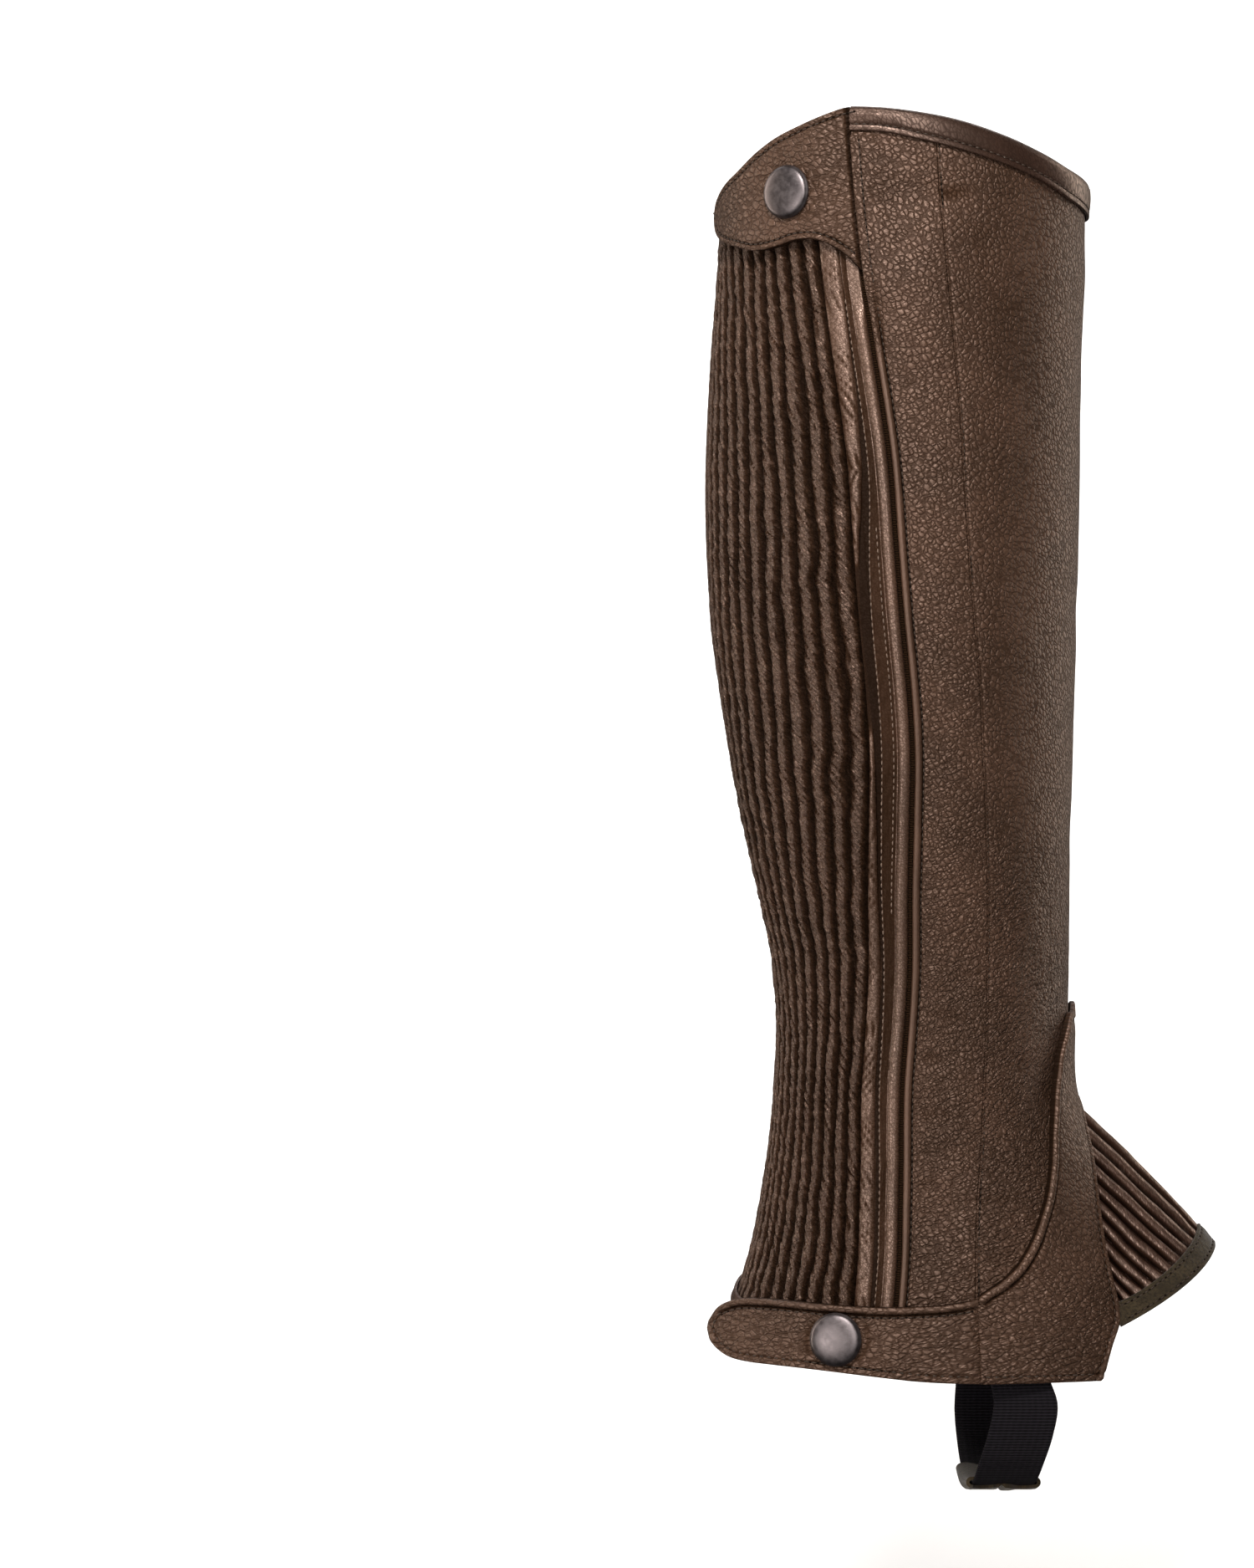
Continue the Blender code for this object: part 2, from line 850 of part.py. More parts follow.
def strap_stations():
    """Back and front edge of the foot elastic, from its outer to its inner sewn end."""
    inside = -LEATHER - LAY - ELASTIC / 2 - 0.2
    behind_binding = inside - BINDING - LAY
    outer = [[on_leg(a, height, inside) for a in SEWN_OUTER] for height in SEWN_HEIGHTS]
    inner = [[on_leg(a, height, behind_binding) for a in SEWN_INNER] for height in reversed(SEWN_HEIGHTS)]
    free = [
        [Vector((back, y, height)), Vector((front, y, height))]
        for y, height, back, front in zip(*(FOOT_STRAP[n] for n in ("y", "height", "back", "front")))
    ]
    return outer + free + inner


def strap_curve():
    """The stations as smooth columns, read at any place along the elastic."""
    stations = strap_stations()
    curve = {"place": tuple(range(len(stations)))}
    for edge in (0, 1):
        for axis in range(3):
            curve[(edge, axis)] = tuple(station[edge][axis] for station in stations)
    return curve


def strap_point(curve, along, across, out):
    """A point across the elastic, from its back edge 0 to its front edge 1, moved out."""

    def edge_point(edge, place):
        return Vector([read(curve, (edge, axis), place) for axis in range(3)])

    def middle(place):
        return edge_point(0, place).lerp(edge_point(1, place), across)

    forwards = middle(along + 0.05) - middle(along - 0.05)
    width = edge_point(1, along) - edge_point(0, along)
    normal = forwards.cross(width).normalized()
    return middle(along) + normal * out


def foot_strap():
    curve = strap_curve()
    rows = (len(curve["place"]) - 1) * STRAP_STEPS

    def sheet(out):
        return lambda key: strap_point(curve, key[1] / STRAP_STEPS, key[0] / 2, out)

    wall("foot_strap", "elastic", grid(2, rows), sheet(ELASTIC / 2), sheet(-ELASTIC / 2))


def strap_wrap():
    """A sleeve: four sides round the elastic, open at both ends."""
    curve = strap_curve()
    width = (strap_point(curve, 7, 1, 0) - strap_point(curve, 7, 0, 0)).length

    def sheet(clear):
        thick = ELASTIC / 2 + clear
        aside = clear / width
        corners = ((-aside, thick), (1 + aside, thick), (1 + aside, -thick), (-aside, -thick))

        def point(key):
            across, out = corners[key[0] % 4]
            return strap_point(curve, mix(WRAP_FROM, WRAP_TO, key[1] / WRAP_STEPS), across, out)

        return point

    quads = [
        ((c, r), ((c + 1) % 4, r), ((c + 1) % 4, r + 1), (c, r + 1))
        for c in range(4)
        for r in range(WRAP_STEPS)
    ]
    wall("strap_wrap", "suede", quads, sheet(GAP + 0.1 + WRAP), sheet(GAP + 0.1))


def snap_cap(name, angle, height, out):
    """A domed cap, turned round its own axis and set on the leather."""
    profile = [(0.0, CAP_HEIGHT)]
    for turn in (20, 40, 58, 74):
        rise = math.cos(math.radians(turn))
        profile.append((CAP_RADIUS * math.sin(math.radians(turn)), 0.5 + (CAP_HEIGHT - 0.5) * rise))
    profile += [(CAP_RADIUS, 0.5), (CAP_RADIUS - 0.3, 0.0), (0.0, 0.0)]
    mesh = bpy.data.meshes.new(name)
    points = [(x * MM, 0.0, z * MM) for x, z in profile]
    mesh.from_pydata(points, [(k, k + 1) for k in range(len(points) - 1)], [])
    cap = add_piece(name, "metal", mesh)
    turned = cap.modifiers.new("Turned", "SCREW")
    turned.steps = CAP_STEPS
    turned.render_steps = CAP_STEPS
    turned.use_merge_vertices = True
    turned.merge_threshold = 0.00001
    around = on_leg(angle + 1, height, out) - on_leg(angle - 1, height, out)
    upward = on_leg(angle, height + 1, out) - on_leg(angle, height - 1, out)
    normal = around.cross(upward).normalized()
    side = around.normalized()
    turn = Matrix((side, normal.cross(side), normal)).transposed()
    centre = on_leg(angle, height, out) + normal * GAP
    cap.matrix_world = Matrix.Translation(centre * MM) @ turn.to_4x4()
    return cap


def main():
    for old in list(bpy.data.objects):
        bpy.data.objects.remove(old, do_unlink=True)
    bpy.context.scene.collection.children.link(bpy.data.collections.new(NAME))
    front_panel()
    outer_rear_panel()
    ribbed_panel()
    zip_guard()
    zip_tape()
    top_bindings()
    hem_binding()
    inner_patch()
    top_flap()
    snap_cap("top_snap", *FLAP_SNAP, read(FLAP, "out", FLAP_SNAP[0]) + LEATHER)
    ankle_overlay()
    ankle_strap()
    snap_cap("ankle_snap", *STRAP_SNAP, read(STRAP, "out", STRAP_SNAP[0]) + LEATHER)
    instep_gusset()
    gusset_band()
    foot_strap()
    strap_wrap()


main()
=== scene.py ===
# Looks of one half chap in its worn form: pebbled leather, a ribbed calf panel with a covered zip,
# bindings, stitching, domed snaps, a ribbed instep gusset and an elastic under the boot.
#
# Sizes are in millimetres, and in degrees round the leg: 0 is the outer side, 90 the front, 180 the
# inner side and 270 the back. "Out" is a distance from the shell's outer face along the level line
# away from the leg. +X points forward, -Y to the outer side and +Z up. Where cloth on the leg is laid
# flat, a degree counts as a millimetre.

import math

import bpy
import bmesh
import numpy as np
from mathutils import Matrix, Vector


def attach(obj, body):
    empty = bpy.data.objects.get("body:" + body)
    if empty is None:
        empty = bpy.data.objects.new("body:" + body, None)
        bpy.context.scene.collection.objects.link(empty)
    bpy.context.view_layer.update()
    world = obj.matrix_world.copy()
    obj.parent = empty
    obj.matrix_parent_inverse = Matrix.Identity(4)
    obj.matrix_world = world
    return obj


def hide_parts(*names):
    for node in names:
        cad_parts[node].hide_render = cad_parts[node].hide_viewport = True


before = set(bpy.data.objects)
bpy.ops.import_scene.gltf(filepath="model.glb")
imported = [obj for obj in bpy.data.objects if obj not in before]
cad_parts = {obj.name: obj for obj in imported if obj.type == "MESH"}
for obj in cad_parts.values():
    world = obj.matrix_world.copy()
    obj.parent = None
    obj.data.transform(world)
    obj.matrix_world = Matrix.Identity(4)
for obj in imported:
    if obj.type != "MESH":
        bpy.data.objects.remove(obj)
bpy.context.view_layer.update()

MM = 0.001
BODY = "root"

# Thicknesses, the slack in a binding, how far a piece lies off what carries it, and half a seam's gap
LEATHER = 1.6
RIBBED = 2.6
BINDING = 1.0
PATCH = 1.0
ELASTIC = 1.2
GAP = 0.3
LAY = 0.5
SEAM = 0.02


def table(names, *rows):
    """Columns by name, in the order of the first column."""
    names = names.split()
    columns = dict(zip(names, np.array(sorted(rows), float).T))
    columns["place"] = columns[names[0]]
    return columns


# Rings of the leg
RINGS = table(
    "height back shin front_out front_in half_width",
    (-290, -57.0, 63.0, 93.0, 78.5, 42.5),
    (-260, -51.2, 60.5, 85.0, 75.9, 41.5),
    (-240, -46.0, 59.2, 75.7, 70.4, 40.5),
    (-216, -41.8, 58.0, 66.9, 64.5, 39.8),
    (-203, -40.2, 57.5, 61.5, 60.5, 39.6),
    (-190, -39.2, 57.1, 57.6, 57.6, 39.8),
    (-170, -38.5, 57.0, 57.0, 57.0, 40.5),
    (-148, -40.3, 57.3, 57.3, 57.3, 42.5),
    (-126, -44.9, 57.8, 57.8, 57.8, 45.5),
    (-104, -49.9, 58.4, 58.4, 58.4, 48.8),
    (-82, -54.0, 58.9, 58.9, 58.9, 51.8),
    (-60, -57.3, 59.5, 59.5, 59.5, 54.2),
    (-38, -60.0, 59.8, 59.8, 59.8, 55.7),
    (0, -61.6, 60.7, 60.7, 60.7, 56.5),
    (38, -60.4, 61.4, 61.4, 61.4, 56.4),
    (82, -57.4, 62.5, 62.5, 62.5, 55.4),
    (126, -56.4, 63.3, 63.3, 63.3, 54.6),
)

# Upright lines: the zip's groove, the outer side seam, and the ribbed panel's inner edge
LINES = table(
    "height zip side_seam rib_edge",
    (-284, -6.0, 14.0, 227.0),
    (-256, -6.0, 14.5, 228.5),
    (-225, -8.0, 16.5, 232.0),
    (-190, -9.5, 22.0, 230.5),
    (-150, -6.2, 24.0, 222.5),
    (-128, -3.8, 25.0, 217.0),
    (-107, -1.0, 25.5, 216.0),
    (-82, 1.3, 25.0, 219.0),
    (-56, 1.0, 24.0, 223.0),
    (-16, -1.2, 21.0, 231.3),
    (8, -3.0, 19.2, 233.8),
    (28, -6.0, 17.5, 234.5),
    (70, -14.0, 11.8, 232.3),
    (93, -17.3, 9.2, 226.5),
    (123, -20.0, 7.0, 224.0),
)

# Top edge with its binding on, and how far down the binding's fold reaches
TOP = table(
    "angle height fold",
    (-24, 123.6, 8.0),
    (-9, 122.7, 8.0),
    (3, 121.1, 9.0),
    (15, 118.8, 9.6),
    (30, 114.7, 9.6),
    (46, 109.9, 9.6),
    (62, 105.9, 10.2),
    (90, 103.2, 11.0),
    (130, 103.2, 9.6),
    (190, 102.6, 9.4),
    (227, 103.4, 9.2),
    (250, 100.4, 6.6),
    (275, 96.0, 5.0),
    (350, 96.4, 5.0),
)
BACK_BINDING_END = 327.5

# Lower edge, binding included; the outer side goes on past 360
HEM = table(
    "angle height fold",
    (128, -281.2, 9.8),
    (150, -281.6, 12.0),
    (158, -279.1, 12.0),
    (166, -273.6, 10.6),
    (174, -268.6, 10.0),
    (190, -262.0, 9.8),
    (206, -259.2, 8.8),
    (226, -258.2, 8.2),
    (255, -259.6, 6.0),
    (275, -263.4, 5.2),
    (300, -266.8, 5.2),
    (330, -271.0, 6.0),
    (345, -275.5, 6.5),
    (360, -281.0, 6.5),
    (420, -282.4, 6.5),
)

# Slit over the instep, between the wings of the overlay
SLIT_TOP = -196
SLIT_INSET = 5
SLIT = table(
    "height outer inner",
    (-290, 42.0, 135.0),
    (-274, 49.0, 130.5),
    (-265, 54.0, 129.0),
    (-254, 55.6, 127.0),
    (-238, 60.0, 122.0),
    (-221, 66.2, 115.5),
    (-209, 74.5, 106.5),
    (-202, 81.3, 99.0),
    (SLIT_TOP, 90.0, 90.0),
    (-180, 90.0, 90.0),
)

# Side edges of the ankle overlay, from foot to tip, and how far its tip stands off the shin
OVERLAY_FOOT = -284.6
OVERLAY_TIP = -163.6
OVERLAY_SEAM = 14.62
STRAP_TOP = -257.2
OVERLAY = table(
    "height outer inner off",
    (OVERLAY_FOOT, OVERLAY_SEAM, 151.8, 0.0),
    (-270.0, OVERLAY_SEAM, 151.6, 0.0),
    (STRAP_TOP, OVERLAY_SEAM, 150.8, 0.0),
    (-252.6, 20.0, 150.2, 0.0),
    (-247.6, 25.2, 149.4, 0.0),
    (-238.9, 31.5, 147.5, 0.0),
    (-232.0, 35.4, 146.3, 0.0),
    (-225.5, 39.0, 145.0, 0.0),
    (-217.0, 43.0, 143.3, 0.0),
    (-208.8, 47.0, 141.5, 0.0),
    (-202.0, 50.8, 139.6, 0.0),
    (SLIT_TOP, 54.5, 137.5, 0.1),
    (-186.0, 60.0, 134.0, 0.2),
    (-178.8, 63.0, 131.0, 0.3),
    (-169.8, 71.0, 123.0, 0.6),
    (-166.0, 77.5, 111.0, 0.9),
    (OVERLAY_TIP, 85.0, 99.0, 1.1),
)

# Tail of the ankle strap; its end springs clear of the leg
STRAP = table(
    "angle low high out",
    (-70, -268.8, -266.4, 11.0),
    (-68, -272.6, -262.4, 10.1),
    (-65, -275.2, -260.2, 8.9),
    (-60, -277.6, -258.6, 7.0),
    (-53, -278.7, -258.2, 5.0),
    (-45, -279.2, -258.3, 3.4),
    (-35, -279.8, -258.8, 2.2),
    (-23, -280.8, -259.4, 1.7),
    (-12, -281.9, -259.8, 1.7),
    (-3, -282.9, -259.7, 1.7),
    (6, -284.0, -259.2, 1.1),
    (14.2, -284.5, -257.6, 0.5),
)
STRAP_SEAM = 14.58
STRAP_SNAP = (-23.5, -270.3)

# Millimetres that a degree takes up at the strap's seam
SEAM_DEGREE = 0.95

# Snap flap over the top of the zip
FLAP = table(
    "angle low high out",
    (-80.0, 91.2, 93.2, 1.3),
    (-78.5, 88.0, 96.2, 1.3),
    (-75.0, 85.2, 98.8, 1.3),
    (-68.0, 82.6, 102.0, 1.6),
    (-60.0, 80.6, 105.2, 1.8),
    (-51.5, 78.7, 110.0, 1.8),
    (-43.0, 79.2, 114.3, 1.8),
    (-35.0, 81.1, 117.4, 1.8),
    (-28.5, 81.0, 119.8, 1.8),
    (-22.0, 78.1, 122.2, 0.7),
    (-16.5, 73.7, 123.4, 0.5),
    (-12.0, 68.4, 123.6, 0.5),
)
FLAP_SNAP = (-38.0, 96.5)

# Contact patch on the inner side
PATCH_EDGES = table(
    "height front back",
    (71.3, 158, 171),
    (70.7, 153, 180),
    (69.6, 149, 187),
    (68.2, 145.5, 193.5),
    (66, 142, 199.5),
    (60.6, 137, 207),
    (52, 133.5, 211.5),
    (41, 130.5, 212.8),
    (22, 127.6, 211.6),
    (4, 125, 209.5),
    (-22, 123, 205),
    (-53, 122, 203),
    (-84, 123.5, 201.7),
    (-110, 125.5, 203),
    (-122, 128, 202.2),
    (-130, 133, 200),
    (-137, 140.5, 194),
    (-141, 149.5, 186),
    (-142.4, 156, 180.5),
    (-143.2, 163, 174),
)

# Zip, its guard, and the ribbed panel
ZIP_ANGLE = 350
GROOVE = 1.4
GUARD_WIDTH = 13.4
TAPE = 1.0
TAPE_HALF_WIDTH = 8.0
TOOTH_PITCH = 0.75
RIBS = 18
RIB_DEPTH = 2.0
RIB_HALF_WIDTH = 0.42

# Sewn strip between the last cord of the ribs and the zip's bead: its two edges, from the bead
GUARD_STRIP = table(
    "height ridge cord",
    (-290, 2.2, 3.4),
    (-219, 2.4, 4.2),
    (-164, 3.4, 4.8),
    (-110, 5.0, 6.6),
    (-55, 5.2, 8.5),
    (-27, 4.6, 8.2),
    (0, 2.7, 5.4),
    (11, 2.4, 4.4),
    (55, 2.0, 2.6),
    (120, 2.0, 2.6),
)
BEAD = 4.0

# Instep gusset
GUSSET_RIBS = 21
GUSSET_FOOT = -260.0
GUSSET_REACH = 1.07
GUSSET = 2.0
GUSSET_DEPTH = 1.5
GUSSET_ROUND = 1.6
TOE = (105.3, -243.0)
TOE_HALF_WIDTH = 26.5
TOE_DROP = 23.4
TOE_BACK_OUTER = 75.0
TOE_BACK_INNER = 65.2
BAND_WIDTH = 8.0
BAND_OUT = 0.8

# Free run of the foot elastic: middle of its thickness, back and front edge
FOOT_STRAP = table(
    "place y height back front",
    (0, -36.3, -291.5, 30.6, 51.2),
    (1, -34.8, -301.5, 28.8, 49.9),
    (2, -29.5, -311.5, 26.2, 47.2),
    (3, -18.5, -318.6, 24.9, 45.5),
    (4, 0.0, -321.2, 24.0, 44.6),
    (5, 18.5, -318.6, 23.5, 44.0),
    (6, 29.5, -311.5, 22.8, 43.4),
    (7, 34.8, -301.5, 22.2, 42.7),
    (8, 36.3, -291.5, 22.8, 43.2),
)
SEWN_OUTER = (17.6, 32.0)
SEWN_INNER = (163.6, 147.4)
SEWN_HEIGHTS = (-264.0, -273.0, -282.0)
ELASTIC_WIDTH = 20.5
WRAP_FROM = 6.1
WRAP_TO = 7.9
WRAP = 1.3

# Snap caps
CAP_RADIUS = 8.6
CAP_HEIGHT = 2.7

# Camera: the photograph's frame, and the origin's place in it
PHOTO = (1500, 1875)
PHOTO_ORIGIN = (1068, 600)
PIXELS_PER_MM = 3.65
CAMERA_DISTANCE = 1800
SENSOR = 36.0

# Distances from an edge at which a fine sheet has its lines, the share of a narrow sheet that they
# may fill from each edge, and a distance for where there is no edge
EDGE_MARKS = np.array((0, 0.12, 0.3, 0.55, 0.85, 1.2, 1.55, 1.9, 2.25, 2.6, 3.0, 3.5, 4.2, 5.2))
FEW_MARKS = np.array((0, 0.3, 0.8, 1.5, 2.5))
MARKS_SHARE = 0.42
FAR = 99.0


# Curves


def mix(a, b, share):
    return a + (b - a) * share


def smooth(x, start, end):
    """0 before the start, 1 after the end, and an even slope between."""
    t = np.clip((x - start) / (end - start), 0.0, 1.0)
    return t * t * (3 - 2 * t)


def hump(x, centre, width):
    return np.exp(-(((x - centre) / width) ** 2))


def arch(distance, centre, half, height=1.0):
    """A rounded ridge's height over its foot."""
    return height * np.sqrt(1 - np.clip(np.abs((distance - centre) / half), 0, 1) ** 2)


def read(columns, name, place):
    """A smooth curve through a column: cubics whose slopes come from the neighbours."""
    places = columns["place"]
    values = columns[name]
    last = len(places) - 1
    before = np.maximum(np.arange(last + 1) - 1, 0)
    after = np.minimum(np.arange(last + 1) + 1, last)
    slopes = (values[after] - values[before]) / (places[after] - places[before])
    place = np.asarray(place, float)
    first = np.clip(np.searchsorted(places, place, side="right") - 1, 0, last - 1)
    step = places[first + 1] - places[first]
    t = (place - places[first]) / step
    rise = values[first + 1] - values[first]
    start = slopes[first] * step
    end = slopes[first + 1] * step
    inside = values[first] + t * (start + t * (3 * rise - 2 * start - end + t * (start + end - 2 * rise)))
    below = values[first] + start * t
    above = values[first + 1] + end * (t - 1)
    return np.where(t < 0, below, np.where(t > 1, above, inside))


def on_leg(angle, height, out=0.0):
    """Points of the leg's surface, moved out."""
    angle, height, out = np.broadcast_arrays(angle, height, out)
    back = read(RINGS, "back", height)
    middle = (back + read(RINGS, "shin", height)) / 2
    across = np.sin(np.radians(angle))
    aside = -np.cos(np.radians(angle))
    front = np.where(aside < 0, read(RINGS, "front_out", height), read(RINGS, "front_in", height))
    depth = np.where(across < 0, middle - back, front - middle)
    half_width = read(RINGS, "half_width", height)
    return np.stack((middle + (depth + out) * across, (half_width + out) * aside, height), axis=-1)


def degrees_of(length, height):
    """The angle that a length takes up at the side of the leg."""
    depth = (read(RINGS, "shin", height) - read(RINGS, "back", height)) / 2
    return np.degrees(length / depth)


def zip_line(height, shift=0.0):
    return read(LINES, "zip", height) + degrees_of(shift, height)


def side_seam(height, shift=0.0):
    return read(LINES, "side_seam", height) + degrees_of(shift, height)


def rib_edge(height, shift=0.0):
    return read(LINES, "rib_edge", height) + degrees_of(shift, height)


def top_edge(angle):
    return read(TOP, "height", angle) - BINDING - GAP


def hem_angle(angle):
    return np.where(np.asarray(angle) < 100, np.asarray(angle) + 360, angle)


def hem_edge(angle):
    return read(HEM, "height", hem_angle(angle)) + BINDING + GAP


def slit(side, height):
    angle = read(SLIT, side, height)
    angle = np.minimum(angle, 90.0) if side == "outer" else np.maximum(angle, 90.0)
    return np.where(np.asarray(height) >= SLIT_TOP, 90.0, angle)


def settle(angle_at, height_at, height):
    """Where side lines, angle_at(height), meet level lines, height_at(angle), from a first height."""
    for _ in range(9):
        angle = angle_at(height)
        height = height_at(angle)
    return angle, height


def lumps(x, y, seed):
    """Smooth unevenness from -1 to 1, about one lump for each unit of x and y."""
    cells = 61
    heights = np.random.default_rng(seed).uniform(-1, 1, (cells, cells))
    x, y = np.broadcast_arrays(x, y)
    left = np.floor(x).astype(int)
    low = np.floor(y).astype(int)
    u = x - left
    v = y - low
    u = u * u * (3 - 2 * u)
    v = v * v * (3 - 2 * v)
    below = mix(heights[left % cells, low % cells], heights[(left + 1) % cells, low % cells], u)
    above = mix(heights[left % cells, (low + 1) % cells], heights[(left + 1) % cells, (low + 1) % cells], u)
    return mix(below, above, v)


def graded(left, right, count):
    """Lines of a sheet: fixed distances from both edges, and even shares between.

    Returns each line's share of the middle and its distances from the left and the right edge."""
    shares = np.concatenate((np.zeros(len(left)), np.arange(1, count) / count, np.ones(len(right))))
    from_left = np.concatenate((left, np.full(count - 1 + len(right), left[-1])))
    from_right = np.concatenate((np.full(len(left) + count - 1, right[-1]), right[::-1]))
    return shares, from_left, from_right


def squeezed(first, last, lines):
    """Places of graded lines between two edges. Where the edges come close, so do the lines."""
    share, left, right = lines
    room = np.minimum(1.0, MARKS_SHARE * (last - first) / EDGE_MARKS[-1])
    return mix(first + left * room, last - right * room, share)


def plain_lines(share):
    """Lines at given shares, with no fixed distances from the edges."""
    return share, np.zeros(len(share)), np.zeros(len(share))


def as_columns(lines):
    return tuple(values[:, None] for values in lines)


def flat_points(x, y):
    return np.stack((x, y), axis=1)


def along_line(points):
    """Distance along a line of points."""
    steps = np.linalg.norm(np.diff(points, axis=0), axis=1)
    return np.concatenate(([0.0], np.cumsum(steps)))


def edge_distance(x, y, line):
    """Distance of flat points from a flat line."""
    points = flat_points(x.ravel(), y.ravel())
    nearest = np.full(len(points), np.inf)
    for start, end in zip(line[:-1], line[1:]):
        step = end - start
        share = np.clip(((points - start) @ step) / max(step @ step, 1e-12), 0, 1)
        gap = np.linalg.norm(points - start - share[:, None] * step, axis=1)
        nearest = np.minimum(nearest, gap)
    return nearest.reshape(x.shape)


def inset(line, distance):
    """A flat line moved to its left by a distance."""
    along = np.gradient(line, axis=0)
    along /= np.linalg.norm(along, axis=1)[:, None]
    return line + distance * flat_points(-along[:, 1], along[:, 0])


# Meshes


def sheet_faces(columns, rows, size):
    """Quads of the part of a sheet between two columns and two rows, as point indices."""
    c, r = np.meshgrid(np.arange(columns[0], columns[1]), np.arange(rows[0], rows[1]), indexing="ij")
    corner = (c * size + r).ravel()
    return np.stack((corner, corner + size, corner + size + 1, corner + 1), axis=1).tolist()


def every(first, last, stride, also=()):
    return sorted({*range(first, last, stride), last, *(k for k in also if first < k < last)})


def wall_mesh(name, outer, inner, stride=(6, 6), slit_at=None):
    """A closed wall: a fine outer sheet, an inner one through fewer of the same points, and its rim.

    slit_at is the column whose next one repeats it, and the row up to which the two lie apart."""
    columns, size = outer.shape[0] - 1, outer.shape[1]
    rows = size - 1
    points = np.concatenate((outer.reshape(-1, 3), inner.reshape(-1, 3)))
    inside = outer.shape[0] * size
    halves = [(0, columns)] if slit_at is None else [(0, slit_at[0]), (slit_at[0] + 1, columns)]
    split = () if slit_at is None else (slit_at[1],)
    faces = []

    def rim(steps, at, flip):
        for first, last in zip(steps[:-1], steps[1:]):
            run = [at(k) for k in range(first, last + 1)]
            face = run + [inside + at(last), inside + at(first)]
            faces.append(face[::-1] if flip else face)

    for first, last in halves:
        faces += sheet_faces((first, last), (0, rows), size)
        inner_columns = every(first, last, stride[0])
        inner_rows = every(0, rows, stride[1], split)
        for c0, c1 in zip(inner_columns[:-1], inner_columns[1:]):
            for r0, r1 in zip(inner_rows[:-1], inner_rows[1:]):
                corners = ((c0, r0), (c0, r1), (c1, r1), (c1, r0))
                faces.append([inside + c * size + r for c, r in corners])
        rim(inner_columns, lambda c: c * size, True)
        rim(inner_columns, lambda c: c * size + rows, False)
        left_rows = [r for r in inner_rows if first == 0 or r <= slit_at[1]]
        right_rows = [r for r in inner_rows if last == columns or r <= slit_at[1]]
        rim(left_rows, lambda r, c=first: c * size + r, False)
        rim(right_rows, lambda r, c=last: c * size + r, True)
    return mesh_of(name, points, faces)


def mesh_of(name, points, faces):
    mesh = bpy.data.meshes.new(name)
    mesh.from_pydata((points * MM).tolist(), [], faces)
    return mesh


def set_cloth(mesh, x, y, crease=None, hollow=None):
    """Where each point lies on the flat cloth, how creased the leather is there, and how far it lies
    in a hollow (above 0) or on a crest (below 0), which sets the shade painted into hollows and the
    highlight painted onto crests."""
    cloth = mesh.attributes.new("cloth", "FLOAT_VECTOR", "POINT")
    flat = np.zeros((len(mesh.vertices), 3), np.float32)
    flat[:, 0] = x * MM
    flat[:, 1] = y * MM
    cloth.data.foreach_set("vector", flat.ravel())
    for name, values in (("crease", crease), ("hollow", hollow)):
        if values is not None:
            amount = mesh.attributes.new(name, "FLOAT", "POINT")
            amount.data.foreach_set("value", values.astype(np.float32))


def set_wall_cloth(mesh, shape, **values):
    """The same for both faces of a wall, from values for a sheet of that shape."""
    both = {name: np.tile(np.broadcast_to(value, shape).ravel(), 2) for name, value in values.items()}
    set_cloth(mesh, **both)


def blurred(values, reach):
    """The mean of each value and its neighbours, up to a number of columns and rows away."""
    for axis in (0, 1):
        wide = np.moveaxis(values, axis, 0)
        padded = np.concatenate((np.repeat(wide[:1], reach + 1, 0), wide, np.repeat(wide[-1:], reach, 0)))
        sums = np.cumsum(padded, axis=0)
        wide = (sums[2 * reach + 1 :] - sums[: -2 * reach - 1]) / (2 * reach + 1)
        values = np.moveaxis(wide, 0, axis)
    return values


def hollows(out, depth=0.35):
    """How far each point lies under its surroundings, which sets the shade painted into hollows and
    the highlight painted onto crests.
    """
    return np.clip((blurred(out, 3) - out) / depth, -0.4, 1)


def in_scene(name, data):
    made = bpy.data.objects.new(name, data)
    bpy.context.scene.collection.objects.link(made)
    return made


def add_piece(name, mesh, material, replaces=(), sharp=50):
    """Puts a mesh in the scene: its doubled and unused points go, and it is shaded smooth."""
    work = bmesh.new()
    work.from_mesh(mesh)
    bmesh.ops.delete(work, geom=[v for v in work.verts if not v.link_faces], context="VERTS")
    bmesh.ops.remove_doubles(work, verts=work.verts, dist=0.000002)
    work.to_mesh(mesh)
    work.free()
    mesh.shade_smooth()
    mesh.set_sharp_from_angle(angle=math.radians(sharp))
    mesh.materials.append(material)
    piece = in_scene(name, mesh)
    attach(piece, BODY)
    if replaces:
        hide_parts(*replaces)
    return piece


def cut_sheet(face, slit_at=None):
    """Finds the area of each cell of a piece's face, with the cells beside the slit counted as none;
    the result is not kept. face is its outer side as columns and rows of points in millimetres."""
    across = face[1:, :-1] - face[:-1, :-1]
    down = face[:-1, 1:] - face[:-1, :-1]
    cells = np.linalg.norm(np.cross(across, down), axis=2)
    if slit_at is not None:
        cells[slit_at[0], : slit_at[1]] = 0.0


def leg_piece(
    name, angle, height, out, inner_out, material, slot, replaces, creased=0.0, hollow=None,
    held="stretched", rests_on=(), **wall
):
    """A wall on the leg from its columns and rows of angles, heights and distances out."""
    face = on_leg(angle, height, out)
    mesh = wall_mesh(name, face, on_leg(angle, height, inner_out), **wall)
    # By default, shade is painted into the face's hollows and a highlight onto its crests.
    if hollow is None:
        hollow = hollows(np.broadcast_to(out, angle.shape))
    set_wall_cloth(mesh, angle.shape, x=angle, y=height, crease=creased, hollow=hollow)
    piece = add_piece(name, mesh, material, replaces)
    cut_sheet(face, slit_at=wall.get("slit_at"))


# Materials


